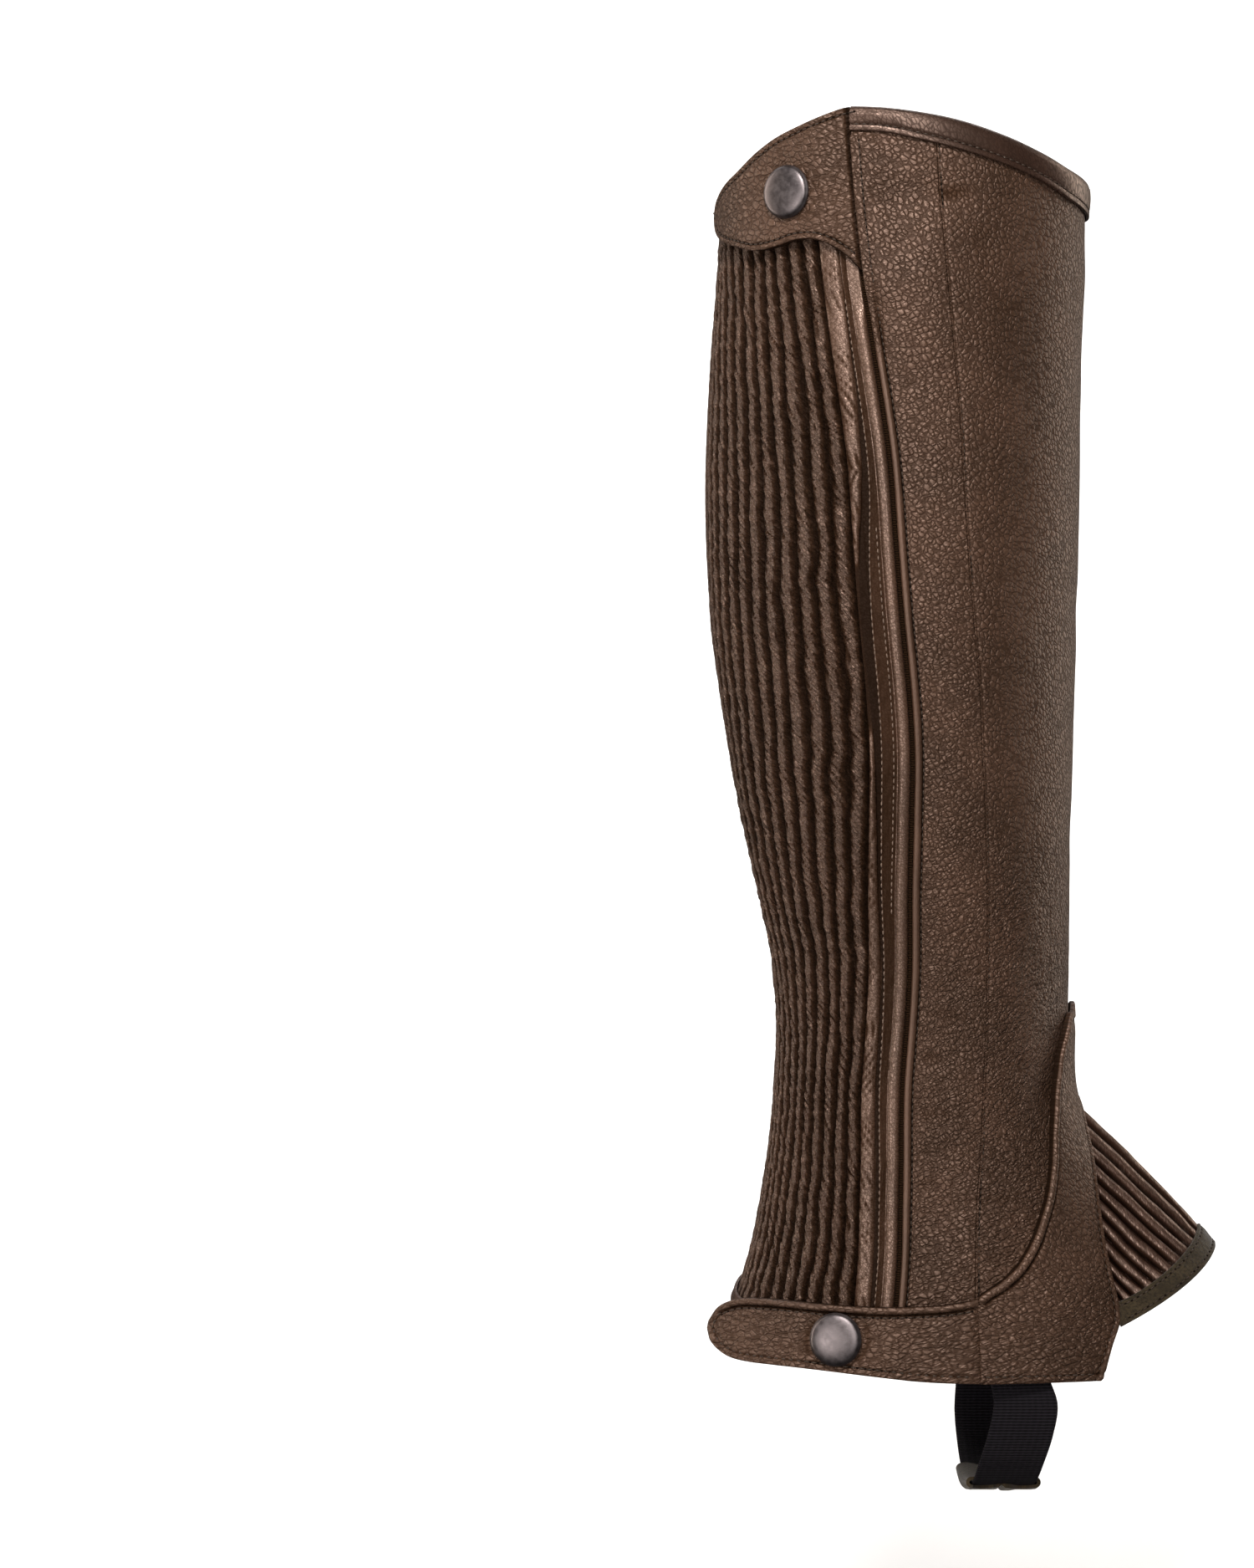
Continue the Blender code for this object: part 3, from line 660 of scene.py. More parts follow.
def feed(tree, socket, value):
    """Links another socket to this one, or sets its value."""
    if isinstance(value, bpy.types.NodeSocket):
        tree.links.new(value, socket)
    else:
        socket.default_value = value


def node(tree, kind, inputs=None, **settings):
    made = tree.nodes.new("ShaderNode" + kind)
    for name, value in settings.items():
        setattr(made, name, value)
    for name, value in (inputs or {}).items():
        feed(tree, made.inputs[name], value)
    return made


def calc(tree, operation, *values):
    made = node(tree, "Math", operation=operation)
    for socket, value in zip(made.inputs, values):
        feed(tree, socket, value)
    return made.outputs[0]


def scaled(tree, place, scale):
    made = node(tree, "VectorMath", {0: place}, operation="MULTIPLY")
    made.inputs[1].default_value = scale
    return made.outputs[0]


def blend_colours(tree, factor, first, second):
    made = node(tree, "Mix", data_type="RGBA")
    for place, value in ((0, factor), (6, first), (7, second)):
        feed(tree, made.inputs[place], value)
    return made.outputs[2]


def new_material(name, roughness, **inputs):
    material = bpy.data.materials.new(name)
    material.use_nodes = True
    tree = material.node_tree
    shader = tree.nodes["Principled BSDF"]
    shader.inputs["Roughness"].default_value = roughness
    for key, value in inputs.items():
        shader.inputs[key.replace("_", " ").title().replace("Ior", "IOR")].default_value = value
    return material, tree, shader


def noise(tree, place, scale, detail=2.0, roughness=0.5):
    inputs = {"Vector": place, "Scale": scale, "Detail": detail, "Roughness": roughness}
    return node(tree, "TexNoise", inputs).outputs["Fac"]


def between(tree, value, low, high, to_low=0.0, to_high=1.0):
    inputs = {"Value": value, "From Min": low, "From Max": high, "To Min": to_low, "To Max": to_high}
    return node(tree, "MapRange", inputs, interpolation_type="SMOOTHSTEP").outputs[0]


def cloth_place(tree):
    return node(tree, "Attribute", attribute_name="cloth").outputs["Vector"]


def turned(tree, place, degrees, along, across=1.0):
    """Flat places turned by an angle, then made longer along it and across it."""
    made = node(tree, "Mapping", {"Vector": place}, vector_type="TEXTURE")
    made.inputs["Rotation"].default_value = (0.0, 0.0, math.radians(degrees))
    made.inputs["Scale"].default_value = (along, across, 1.0)
    return made.outputs[0]


def bump(tree, shader, height, depth, strength=1.0):
    """Relief of a surface. depth is in millimetres."""
    made = node(tree, "Bump", {"Height": height, "Strength": strength, "Distance": depth * MM})
    tree.links.new(made.outputs[0], shader.inputs["Normal"])


def shade(colour, factor):
    return tuple(factor * c for c in colour[:3]) + (1.0,)


def veins(tree, value, width):
    """0 on the thin winding lines where a noise passes its middle, and 1 away from them."""
    return between(tree, calc(tree, "ABSOLUTE", calc(tree, "SUBTRACT", value, 0.5)), 0.0, width)


def weakened(tree, value, amount):
    """A value brought back to 1 as the amount falls to 0."""
    return calc(tree, "SUBTRACT", 1.0, calc(tree, "MULTIPLY", calc(tree, "SUBTRACT", 1.0, value), amount))


def painted_shade_and_highlight(tree, colour, dark, hollow):
    """Painted shade: the colour darkens to a deep brown in the hollows. Painted highlight: it pales on the
    crests.
    """
    colour = blend_colours(tree, between(tree, hollow, 0.02, 0.75, 0.0, 0.9), colour, shade(dark, 0.16))
    return blend_colours(tree, between(tree, hollow, -0.2, -1.0, 0.0, 0.35), colour, shade(dark, 2.2))


def leather(
    name, light, dark, grain=1.7, depth=0.16, roughness=0.45, slant=-42, long=1.6, contrast=0.5,
    twisted=0.0, gloss=0.62
):
    """Pebbled leather: cells of the grain parted by fine creases, longer folds where the piece is marked
    as creased, and a slow change of colour. The creases and folds are painted darker as shade, and the
    hollow attribute paints shade into hollows and a highlight onto crests. grain and depth are in
    millimetres."""
    material, tree, shader = new_material(name, roughness, ior=1.65, specular_tint=(1.0, 0.72, 0.60, 1.0))
    place = cloth_place(tree)
    warp = node(tree, "TexNoise", {"Vector": place, "Scale": 230.0, "Detail": 2.0}).outputs["Color"]
    offset = node(tree, "VectorMath", {0: warp}, operation="SUBTRACT")
    offset.inputs[1].default_value = (0.5, 0.5, 0.5)
    shift = scaled(tree, offset.outputs[0], (0.0009,) * 3)
    moved = node(tree, "VectorMath", {0: shift, 1: place}, operation="ADD")
    pebble_place = turned(tree, moved.outputs[0], slant, long)
    cells = {"Vector": pebble_place, "Scale": 1 / (grain * MM), "Randomness": 0.85}
    edges = node(tree, "TexVoronoi", cells, feature="DISTANCE_TO_EDGE").outputs["Distance"]
    domes = node(tree, "TexVoronoi", cells, feature="F1").outputs["Distance"]
    creases = between(tree, edges, 0.0, 0.2)
    rounds = between(tree, domes, 0.70, 0.0)
    fine = noise(tree, place, 2400.0, 2.0)
    pebbles = calc(tree, "ADD", calc(tree, "MULTIPLY", creases, 0.5), calc(tree, "MULTIPLY", rounds, 0.35))
    pebbles = calc(tree, "MULTIPLY_ADD", fine, 0.18, pebbles)

    amount = node(tree, "Attribute", attribute_name="crease").outputs["Fac"]
    calm = between(tree, amount, -1.0, 0.0, 0.12, 1.0)
    pebbles = calc(tree, "MULTIPLY", pebbles, calm)
    creases = weakened(tree, creases, calm)
    folds = veins(tree, noise(tree, turned(tree, moved.outputs[0], 20, 2.4), 400.0, 2.0, 0.55), 0.09)
    folds = weakened(tree, folds, calc(tree, "MAXIMUM", amount, 0.0))

    height = calc(tree, "MULTIPLY_ADD", folds, 2.3, pebbles)
    if twisted:
        twist = veins(tree, noise(tree, turned(tree, place, -52, 3.2), 620.0, 3.0, 0.6), 0.13)
        height = calc(tree, "MULTIPLY_ADD", twist, twisted, height)
        folds = calc(tree, "MINIMUM", folds, calc(tree, "MULTIPLY_ADD", twist, 0.7, 0.3))
    bump(tree, shader, height, depth)

    slow = noise(tree, place, 30.0, 4.0, 0.6)
    colour = blend_colours(tree, between(tree, slow, 0.36, 0.64), dark, light)
    # The grain's creases and the folds are painted darker: painted shade in them.
    lines = calc(tree, "MINIMUM", creases, folds)
    clear = calc(tree, "MULTIPLY_ADD", lines, contrast, 1 - contrast)
    colour = blend_colours(tree, clear, shade(dark, 0.28), colour)
    hollow = node(tree, "Attribute", attribute_name="hollow").outputs["Fac"]
    tree.links.new(painted_shade_and_highlight(tree, colour, dark, hollow), shader.inputs["Base Color"])
    shine = between(tree, hollow, 0.0, 0.35, gloss, 0.06)
    shine = calc(tree, "MULTIPLY", shine, calc(tree, "MULTIPLY_ADD", lines, 0.65, 0.35))
    tree.links.new(shine, shader.inputs["Specular IOR Level"])
    rough = calc(tree, "MULTIPLY_ADD", creases, -0.14, roughness + 0.14)
    rough = calc(tree, "MULTIPLY_ADD", slow, 0.08, rough)
    tree.links.new(rough, shader.inputs["Roughness"])
    return material


def suede(name, light, dark):
    material, tree, shader = new_material(name, 0.95, specular_ior_level=0.15, sheen_weight=0.12)
    place = cloth_place(tree)
    nap = noise(tree, place, 900.0, 4.0, 0.7)
    slow = noise(tree, place, 90.0, 3.0)
    colour = blend_colours(tree, between(tree, slow, 0.3, 0.7), dark, light)
    colour = blend_colours(tree, between(tree, nap, 0.3, 0.6), shade(dark, 0.45), colour)
    tree.links.new(colour, shader.inputs["Base Color"])
    bump(tree, shader, nap, 0.25)
    return material


def woven(name, light, dark, pitch):
    """Close cords across the cloth, parted by fine rows along it. pitch is in millimetres."""
    material, tree, shader = new_material(name, 0.85, specular_ior_level=0.12)
    place = cloth_place(tree)
    apart = node(tree, "SeparateXYZ", {"Vector": place})
    turn = 2 * math.pi / (pitch * MM)
    cords = calc(tree, "SINE", calc(tree, "MULTIPLY", apart.outputs["Y"], turn))
    rows = calc(tree, "SINE", calc(tree, "MULTIPLY", apart.outputs["X"], turn / 2))
    height = calc(tree, "MULTIPLY_ADD", rows, 0.35, cords)
    height = calc(tree, "MULTIPLY_ADD", noise(tree, place, 1800.0), 0.6, height)
    colour = blend_colours(tree, between(tree, height, -0.8, 1.2), dark, light)
    tree.links.new(colour, shader.inputs["Base Color"])
    bump(tree, shader, height, 0.14)
    return material


def thread(name, colour):
    material, tree, shader = new_material(name, 0.6, specular_ior_level=0.35)
    place = node(tree, "TexCoord").outputs["Object"]
    twist = noise(tree, place, 4200.0)
    mixed = blend_colours(tree, between(tree, twist, 0.35, 0.65), colour, shade(colour, 1.6))
    tree.links.new(mixed, shader.inputs["Base Color"])
    bump(tree, shader, twist, 0.08)
    return material


def gunmetal(name):
    """Brushed metal, its strokes along the cap's own X."""
    material, tree, shader = new_material(name, 0.44, metallic=1.0)
    place = cloth_place(tree)
    strokes = noise(tree, scaled(tree, place, (0.12, 1.0, 1.0)), 5200.0, 3.0, 0.6)
    spots = noise(tree, place, 420.0, 4.0, 0.6)
    dark = (0.11, 0.094, 0.097, 1.0)
    light = (0.17, 0.150, 0.154, 1.0)
    rubbed = between(tree, calc(tree, "MULTIPLY_ADD", strokes, 0.5, spots), 0.4, 1.1)
    tree.links.new(blend_colours(tree, rubbed, dark, light), shader.inputs["Base Color"])
    tree.links.new(between(tree, spots, 0.3, 0.7, 0.38, 0.50), shader.inputs["Roughness"])
    bump(tree, shader, strokes, 0.02, 0.5)
    return material


def plain(name, colour):
    material, tree, shader = new_material(name, 0.9, specular_ior_level=0.02)
    speck = noise(tree, node(tree, "TexCoord").outputs["Object"], 900.0)
    tree.links.new(blend_colours(tree, speck, shade(colour, 0.7), colour), shader.inputs["Base Color"])
    return material


BROWN = (0.046, 0.0225, 0.0125, 1.0)
DEEP_BROWN = (0.030, 0.0143, 0.0072, 1.0)
LOOKS = {}


def make_looks():
    LOOKS["panel"] = leather("panel_leather", BROWN, DEEP_BROWN, grain=1.45, depth=0.36, long=1.4)
    LOOKS["bold"] = leather(
        "bold_leather", BROWN, DEEP_BROWN, grain=1.7, depth=0.36, slant=-20, long=1.4, contrast=0.42
    )
    LOOKS["ribs"] = leather(
        "rib_leather", BROWN, DEEP_BROWN, grain=0.9, depth=0.11, contrast=0.6, twisted=4.0, gloss=1.0
    )
    LOOKS["binding"] = leather(
        "binding_leather", (0.026, 0.012, 0.0075, 1.0), (0.016, 0.0075, 0.0045, 1.0), grain=1.0, depth=0.03,
        roughness=0.34, contrast=0.25, gloss=0.75
    )
    LOOKS["guard"] = leather(
        "guard_leather", BROWN, DEEP_BROWN, grain=0.8, depth=0.05, roughness=0.36, contrast=0.25, gloss=1.2
    )
    LOOKS["gusset"] = leather(
        "gusset_leather", (0.034, 0.016, 0.010, 1.0), (0.022, 0.010, 0.006, 1.0), grain=0.8, depth=0.05,
        roughness=0.30, contrast=0.25, gloss=1.1
    )
    LOOKS["suede"] = suede("suede", (0.034, 0.024, 0.012, 1.0), (0.016, 0.011, 0.0055, 1.0))
    LOOKS["elastic"] = woven("elastic", (0.0075, 0.006, 0.0085, 1.0), (0.0015, 0.0012, 0.0018, 1.0), 1.0)
    LOOKS["tape"] = woven("zip_tape", (0.014, 0.007, 0.004, 1.0), (0.006, 0.003, 0.002, 1.0), 0.8)
    LOOKS["thread"] = thread("thread", (0.022, 0.013, 0.008, 1.0))
    LOOKS["pale_thread"] = thread("pale_thread", (0.090, 0.060, 0.044, 1.0))
    # Near-black for the discs of painted shade at the needle holes.
    LOOKS["hole"] = plain("needle_hole_shade", (0.006, 0.004, 0.003, 1.0))
    LOOKS["metal"] = gunmetal("gunmetal")
    LOOKS["teeth"] = plain("zip_teeth", (0.016, 0.008, 0.004, 1.0))


# Edges of the leather, as heights over its face at a distance from the edge


def rounded(distance, radius=0.6):
    """The cut edge's rounding."""
    share = 1 - np.clip(distance / radius, 0, 1)
    return -radius * (1 - np.sqrt(1 - share**2))


def sewn(distance, row):
    """A rounded edge with the groove that a row of stitches pulls in."""
    return rounded(distance) - 0.32 * hump(distance, row, 0.45) + 0.1 * hump(distance, row + 1.6, 0.9)


def rolled(distance):
    """A piped edge with a groove behind it."""
    return arch(distance, 1.15, 1.15, 0.85) - 0.35 * hump(distance, 2.55, 0.45) + rounded(distance)


def dents(angle, height, size=1.0):
    """Slow unevenness of a leather panel, with a pulled crease and a swell beside the top flap."""
    crease = 1.4 * hump(height - 0.12 * angle, 94, 5) * hump(angle, 0, 20)
    swell = 1.9 * hump(height, 62, 22) * hump(angle, 3, 14)
    slow = 0.45 * lumps(angle / 30, height / 38, 3) + 0.2 * lumps(angle / 11, height / 12, 4)
    return size * slow + swell - crease


def ankle_folds(angle, height):
    """Low level folds over the ankle."""
    where = smooth(height, -120, -175) * smooth(height, -279, -262)
    return 0.20 * where * lumps(angle / 19, height / 5.2 + 0.6 * lumps(angle / 30, height / 30, 9), 5)


# The shell


def shell_height(angle, row):
    """Height of a row: -1 at the hem, 0 above the slit, 1 at the top."""
    split = SLIT_TOP + SLIT_INSET
    low = mix(hem_edge(angle), split, row + 1)
    return np.where(row < 0, low, mix(split, top_edge(angle), row))


def shell_rows(step):
    low = round(90 / step)
    high = round(310 / step)
    return np.concatenate((np.linspace(-1, 0, low + 1)[:-1], np.linspace(0, 1, high + 1)))


def shell_grid(start, end, lines, rows):
    """Angles and heights of a panel between two side lines, and distances from both."""
    share, left, right = as_columns(lines)

    def line(height):
        return mix(start(height) + degrees_of(left, height), end(height) - degrees_of(right, height), share)

    angle, height = settle(line, lambda a: shell_height(a, rows[None, :]), np.zeros((1, len(rows))))
    per_degree = 1 / degrees_of(1.0, height)
    return angle, height, (angle - start(height)) * per_degree, (end(height) - angle) * per_degree


def clear_of_ends(angle, height, first, top, hem):
    """0 under the bindings and 1 clear of them, at distances from the top and the hem."""
    return smooth(top_edge(angle) - height, first, top) * smooth(height - hem_edge(angle), first, hem)


def panel_relief(angle, height):
    """Unevenness of the two smooth panels."""
    return (dents(angle, height) + ankle_folds(angle, height)) * clear_of_ends(angle, height, 6, 14, 14)


def creased(angle, height):
    """How creased the panels are: at the ankle, and a little on the calf."""
    ankle = smooth(height, -95, -150)
    return 0.08 + 0.6 * ankle * (0.7 + 0.3 * lumps(angle / 12, height / 15, 12))


def front_panel():
    rows = shell_rows(1.9)
    slit_row = int(np.argmax(rows >= 0))
    left = shell_grid(
        lambda h: side_seam(h, SEAM),
        lambda h: slit("outer", h - SLIT_INSET),
        graded(EDGE_MARKS, FEW_MARKS, 26),
        rows,
    )
    right = shell_grid(
        lambda h: slit("inner", h - SLIT_INSET),
        lambda h: rib_edge(h, -SEAM),
        graded(FEW_MARKS, EDGE_MARKS, 58),
        rows,
    )
    angle = np.concatenate((left[0], right[0]))
    height = np.concatenate((left[1], right[1]))
    seam = np.concatenate((left[2], np.full(right[2].shape, FAR)))
    ribs = np.concatenate((np.full(left[3].shape, FAR), right[3]))
    out = panel_relief(angle, height)
    out += rounded(seam, 0.35) - 0.3 * hump(seam, 0.8, 0.4)
    out += rounded(ribs, 0.8) - 0.6 * (1 - smooth(ribs, 0, 2.5))
    # Shade is painted into the seam grooves and the panel's hollows, and a highlight onto its crests.
    leg_piece(
        "front_leather", angle, height, out, -LEATHER, LOOKS["panel"], "pebbled_leather", ["front_panel"],
        creased(angle, height), hollows(out, 1.1), rests_on=["outer_rear_panel", "ribbed_panel"],
        stride=(6, 8), slit_at=(left[0].shape[0] - 1, slit_row),
    )


def rim_height(distance, height):
    """The folded edge beside the zip, taller where the flap is sewn under it."""
    beside_flap = smooth(height, 58, 68)
    low = arch(distance, 1.15, 1.15, 0.85)
    tall = 2.4 * (1 - smooth(distance, 0.8, 15.0))
    groove = 0.4 * hump(distance, 2.7, 0.4)
    return mix(low - groove, tall - 0.25 * hump(distance, 2.9, 0.45), beside_flap)


def rear_panel():
    lines = graded(np.append(EDGE_MARKS, 6.2), EDGE_MARKS[:9], 16)
    angle, height, rim, seam = shell_grid(
        lambda h: zip_line(h, GROOVE / 2), lambda h: side_seam(h, -SEAM), lines, shell_rows(1.5)
    )
    inside_binding = smooth(top_edge(angle) - height, 6.0, 9.5)
    out = panel_relief(angle, height) * smooth(rim, 2, 6)
    out = out + rim_height(rim, height) * inside_binding + rounded(rim, 0.5)
    out += rounded(seam, 0.35)
    pebbled = np.maximum(smooth(rim, 2.0, 2.8), smooth(height, 40, 52))
    # Shade is painted into the rim's groove and the panel's hollows below the flap, none above it.
    leg_piece(
        "rear_leather", angle, height, out, -LEATHER, LOOKS["panel"], "pebbled_leather", ["outer_rear_panel"],
        mix(-1.0, 0.5 * creased(angle, height) + 0.1, pebbled), hollows(out, 0.8) * smooth(height, 60, 50),
        rests_on=["front_panel", "zip_tape"], stride=(6, 8),
    )


def slanting_folds(angle, height, length, bends, depths):
    """Slanting waves over a cord, and how far each point lies in the folds between them."""
    slant = np.sin(np.pi * ((height + 1.2 * angle) / length + 0.9 * bends))
    return slant, (1 - np.abs(slant)) * (0.65 + 0.35 * depths)


def rib_profile(u, angle, height):
    """Height of the ribs' face, how near each point is to a crest, and how deep in a fold. u counts
    ribs from the inner side. The outer ribs are puckered by the elastic behind them: they stand up as
    cords, which sway and carry short slanting folds."""
    puckered = smooth(u, 5.0, 9.0)
    sway = 0.13 * lumps(u * 0.8 + 3, height / 15, 21) + 0.08 * lumps(u * 1.1, height / 5.5, 22)
    phase = np.mod(u + sway * puckered, 1.0)
    rib = np.floor(u + sway * puckered)
    flat = np.sin(np.pi * phase)
    crest = mix(flat, arch(phase, 0.5, RIB_HALF_WIDTH), puckered)
    bends = lumps(rib * 7.3, height / 8, 23)
    slant, folds = slanting_folds(angle, height, 3.5, bends, lumps(rib * 3.1, height / 3.5, 26))
    bulges = lumps(rib * 5.3, height / 4.5, 24)
    small = lumps(angle / 1.1 + rib * 3, height / 0.95, 25)
    depth = RIB_DEPTH * mix(0.30, 1.0, puckered)
    relief = 0.25 * bulges - 1.1 * folds + 0.12 * small + 0.16 * slant
    return -depth * (1 - crest) + puckered * crest * relief, crest, folds * crest * puckered


def ribbed_panel():
    marks = np.array((0, 0.14, 0.22, 0.31, 0.43, 0.57, 0.69, 0.78, 0.86))
    share = np.append((np.arange(RIBS)[:, None] + marks[None, :]).ravel(), RIBS) / RIBS

    def end(height):
        return zip_line(height, -GUARD_WIDTH - GROOVE / 2 - SEAM) + 360

    angle, height, fold, guard = shell_grid(
        lambda h: rib_edge(h, SEAM), end, plain_lines(share), shell_rows(0.76)
    )
    u = share[:, None] * RIBS
    ends = clear_of_ends(angle, height, 4.0, 9.0, 8.5)
    relief, crest, folds = rib_profile(u, angle, height)
    folded = 1 - smooth(fold, 2.4, 3.2)
    piping = arch(fold, 1.5, 1.5) + rounded(fold, 0.5)
    out = mix(relief * ends, piping * ends, folded)
    out += rounded(guard, 0.8)
    # Painted shade in the valleys between the cords and in their folds, and a painted highlight on the
    # crests; weaker on the flat inner ribs, none on the piped edge.
    hollow = 0.8 * (1 - crest) + 0.75 * folds - 0.45 * smooth(crest, 0.85, 1.0) * (1 - folds)
    hollow = mix(mix(0.35 * hollow, hollow, smooth(u, 5, 9)), 0.0, folded)
    leg_piece(
        "ribs", angle, height, out, -RIBBED, LOOKS["ribs"], "ribbed_leather", ["ribbed_panel"],
        -folded, hollow, rests_on=["front_panel", "zip_guard"], stride=(len(marks), 10),
    )


def guard_profile(angle, height, d):
    """From the ribs to the zip: a last cord, a deep band, a sewn strip and a smooth bead. Returns the
    height over the face, and the shade painted in its hollows."""
    from_bead = GUARD_WIDTH - BEAD - d
    ridge = read(GUARD_STRIP, "ridge", height)
    cord = GUARD_WIDTH - BEAD - read(GUARD_STRIP, "cord", height)
    half = np.maximum(cord, 0.8) / 2
    _, folds = slanting_folds(angle, height, 3.6, lumps(0, height / 8, 34), lumps(0, height / 3.5, 35))
    last = (1.9 + 0.2 * lumps(angle * 0.5, height / 4.5, 33)) * arch(d, half, half) ** 0.8
    last = last * smooth(half, 0.6, 1.1)
    last = last - 0.6 * folds * smooth(last, 0.3, 1.0)
    uneven = lumps(angle * 1.5, height / 1.7, 31)
    strip = smooth(from_bead, ridge + 0.25, ridge - 0.1) * (0.95 + 0.28 * uneven)
    strip += 0.5 * hump(from_bead, ridge - 0.1, 0.28)
    bead = smooth(from_bead, 0.2, -0.1) * 1.15 + arch(from_bead, -BEAD / 2, BEAD / 2, 1.7)
    bead += 0.10 * lumps(angle * 0.4, height / 13, 32) * (from_bead < -0.5)
    out = -1.9 + np.maximum(np.maximum(last, strip), bead)
    # Painted shade in the deep band, the sewn strip and the folds of the last cord, less along the ridge.
    inside = (from_bead > 0.2) & (d > cord)
    hollow = inside * (0.42 - 0.5 * hump(from_bead, ridge - 0.1, 0.3)) + 0.6 * smooth(out, -1.2, -1.8)
    return out, hollow + 0.5 * folds * smooth(last, 0.3, 1.0)


def zip_guard():
    """The strip between the ribs and the zip."""
    strip = np.linspace(0, GUARD_WIDTH - BEAD, 56)[:-1]
    across = np.append(strip, GUARD_WIDTH - BEAD * np.linspace(1, 0, 16))
    angle, height, d, _ = shell_grid(
        lambda h: zip_line(h, -GUARD_WIDTH - GROOVE / 2) + 360,
        lambda h: zip_line(h, -GROOVE / 2) + 360,
        plain_lines(across / GUARD_WIDTH),
        shell_rows(1.6),
    )
    out, hollow = guard_profile(angle, height, d)
    covered = smooth(height, 52, 62)
    out = mix(out, np.minimum(out, -0.2), covered)
    ends = clear_of_ends(angle, height, 4.0, 9.0, 8.5)
    out = mix(-0.4, out, ends)
    # Its edge is turned in as deep as the ribs' low edge beside it, so no light passes between them
    inner = mix(-LEATHER, -RIBBED - 0.3, ends * smooth(d, 4.5, 1.5))
    leg_piece(
        "zip_cover", angle, height, out, inner, LOOKS["guard"], "ribbed_leather", ["zip_guard"],
        0.0, hollow, held="folded", rests_on=["ribbed_panel", "zip_tape"], stride=(5, 8),
    )


def zip_parts():
    face = -LEATHER - LAY
    hem = hem_edge(ZIP_ANGLE)
    top = top_edge(ZIP_ANGLE)
    height = np.clip(shell_height(ZIP_ANGLE, shell_rows(4.0)), hem + 4.0, top - 4.0)
    shift = np.linspace(-TAPE_HALF_WIDTH, TAPE_HALF_WIDTH, 17)[:, None]
    angle = zip_line(height, 0)[None, :] + degrees_of(shift, height[None, :])
    height = np.broadcast_to(height[None, :], angle.shape)
    leg_piece(
        "tape", angle, height, face, face - TAPE, LOOKS["tape"], "zip_tape", ["zip_tape"],
        rests_on=["zip_guard", "outer_rear_panel"], stride=(2, 2)
    )
    low = float(hem) + 6
    high = float(top) - 8
    points = []
    faces = []
    for k in range(int((high - low) / TOOTH_PITCH)):
        z = low + k * TOOTH_PITCH
        side = 1 if k % 2 else -1
        corners = [
            on_leg(zip_line(z, side * x), z + dz, out)
            for out in (face + 0.05, face + 1.0)
            for x, dz in ((-0.5, -0.25), (1.7, -0.25), (1.7, 0.25), (-0.5, 0.25))
        ]
        first = len(points)
        points += corners
        quads = ((0, 3, 2, 1), (4, 5, 6, 7), (0, 1, 5, 4), (1, 2, 6, 5), (2, 3, 7, 6), (3, 0, 4, 7))
        faces += [[first + q for q in (quad if side > 0 else quad[::-1])] for quad in quads]
    mesh = mesh_of("zip_teeth", np.array(points), faces)
    add_piece("zip_teeth", mesh, LOOKS["teeth"], sharp=30)


# Pieces that lie on the shell


def tail_outline(columns, start):
    """Flat outline of a flap or strap: along its foot, round its end and back along its top."""
    angles = mix(start, columns["angle"][0], np.sin(np.linspace(0, np.pi / 2, 150)))
    foot = flat_points(angles, read(columns, "low", angles))
    top = flat_points(angles, read(columns, "high", angles))[::-1]
    return np.concatenate((foot, top))


def flap_outline():
    return tail_outline(FLAP, zip_line(70, GROOVE / 2))


def top_flap():
    share = np.sin(np.linspace(0, np.pi / 2, 96))[:, None]
    lines = graded(EDGE_MARKS, EDGE_MARKS, 34)

    def start(height):
        return zip_line(height, GROOVE / 2 + 0.4)

    def side(height):
        return mix(start(height), FLAP["angle"][0], share)

    def level(angle):
        return squeezed(read(FLAP, "low", angle), read(FLAP, "high", angle), lines)

    angle, height = settle(side, level, np.full((1, len(lines[0])), 95.0))
    edge = edge_distance(angle, height, flap_outline())
    cap = np.hypot(angle - FLAP_SNAP[0], height - FLAP_SNAP[1])
    out = read(FLAP, "out", angle) + LEATHER + sewn(edge, 2.0)
    out += 0.25 * lumps(angle / 16, height / 16, 41) * smooth(edge, 2, 6) - 0.35 * hump(cap, 9.0, 1.6)
    joint = start(height) - angle
    out -= 1.0 * (1 - smooth(joint, 0.2, 1.8))
    rest = np.minimum(read(FLAP, "out", angle), 0.35)
    # Painted shade along the flap's edge and where it meets the rim beside the zip.
    hollow = np.maximum(hollows(out) * (1 - smooth(edge, 3, 5)), 1 - smooth(joint, 0.6, 1.6))
    leg_piece(
        "flap", angle[::-1], height[::-1], out[::-1], rest[::-1], LOOKS["bold"], "pebbled_leather",
        ["top_flap"], 0.25, hollow[::-1], held="laid",
        rests_on=["outer_rear_panel", "zip_guard", "ribbed_panel"], stride=(5, 6),
    )


def strap_outline():
    return tail_outline(STRAP, STRAP["angle"][-1])


def strap_edges(angle, height):
    """Height over the strap's face: piped along the top and round the end, stitched all round."""
    outline = strap_outline()
    count = len(outline) // 2
    edge = edge_distance(angle, height, outline)
    top = edge_distance(angle, height, outline[count - 20 :])
    piped = 1 - smooth(top - edge, 0.2, 2.5)
    piped = piped * smooth(angle, -73, -60)
    return mix(sewn(edge, 2.3), rolled(edge) - 0.15 * hump(edge, 3.3, 0.4), piped)


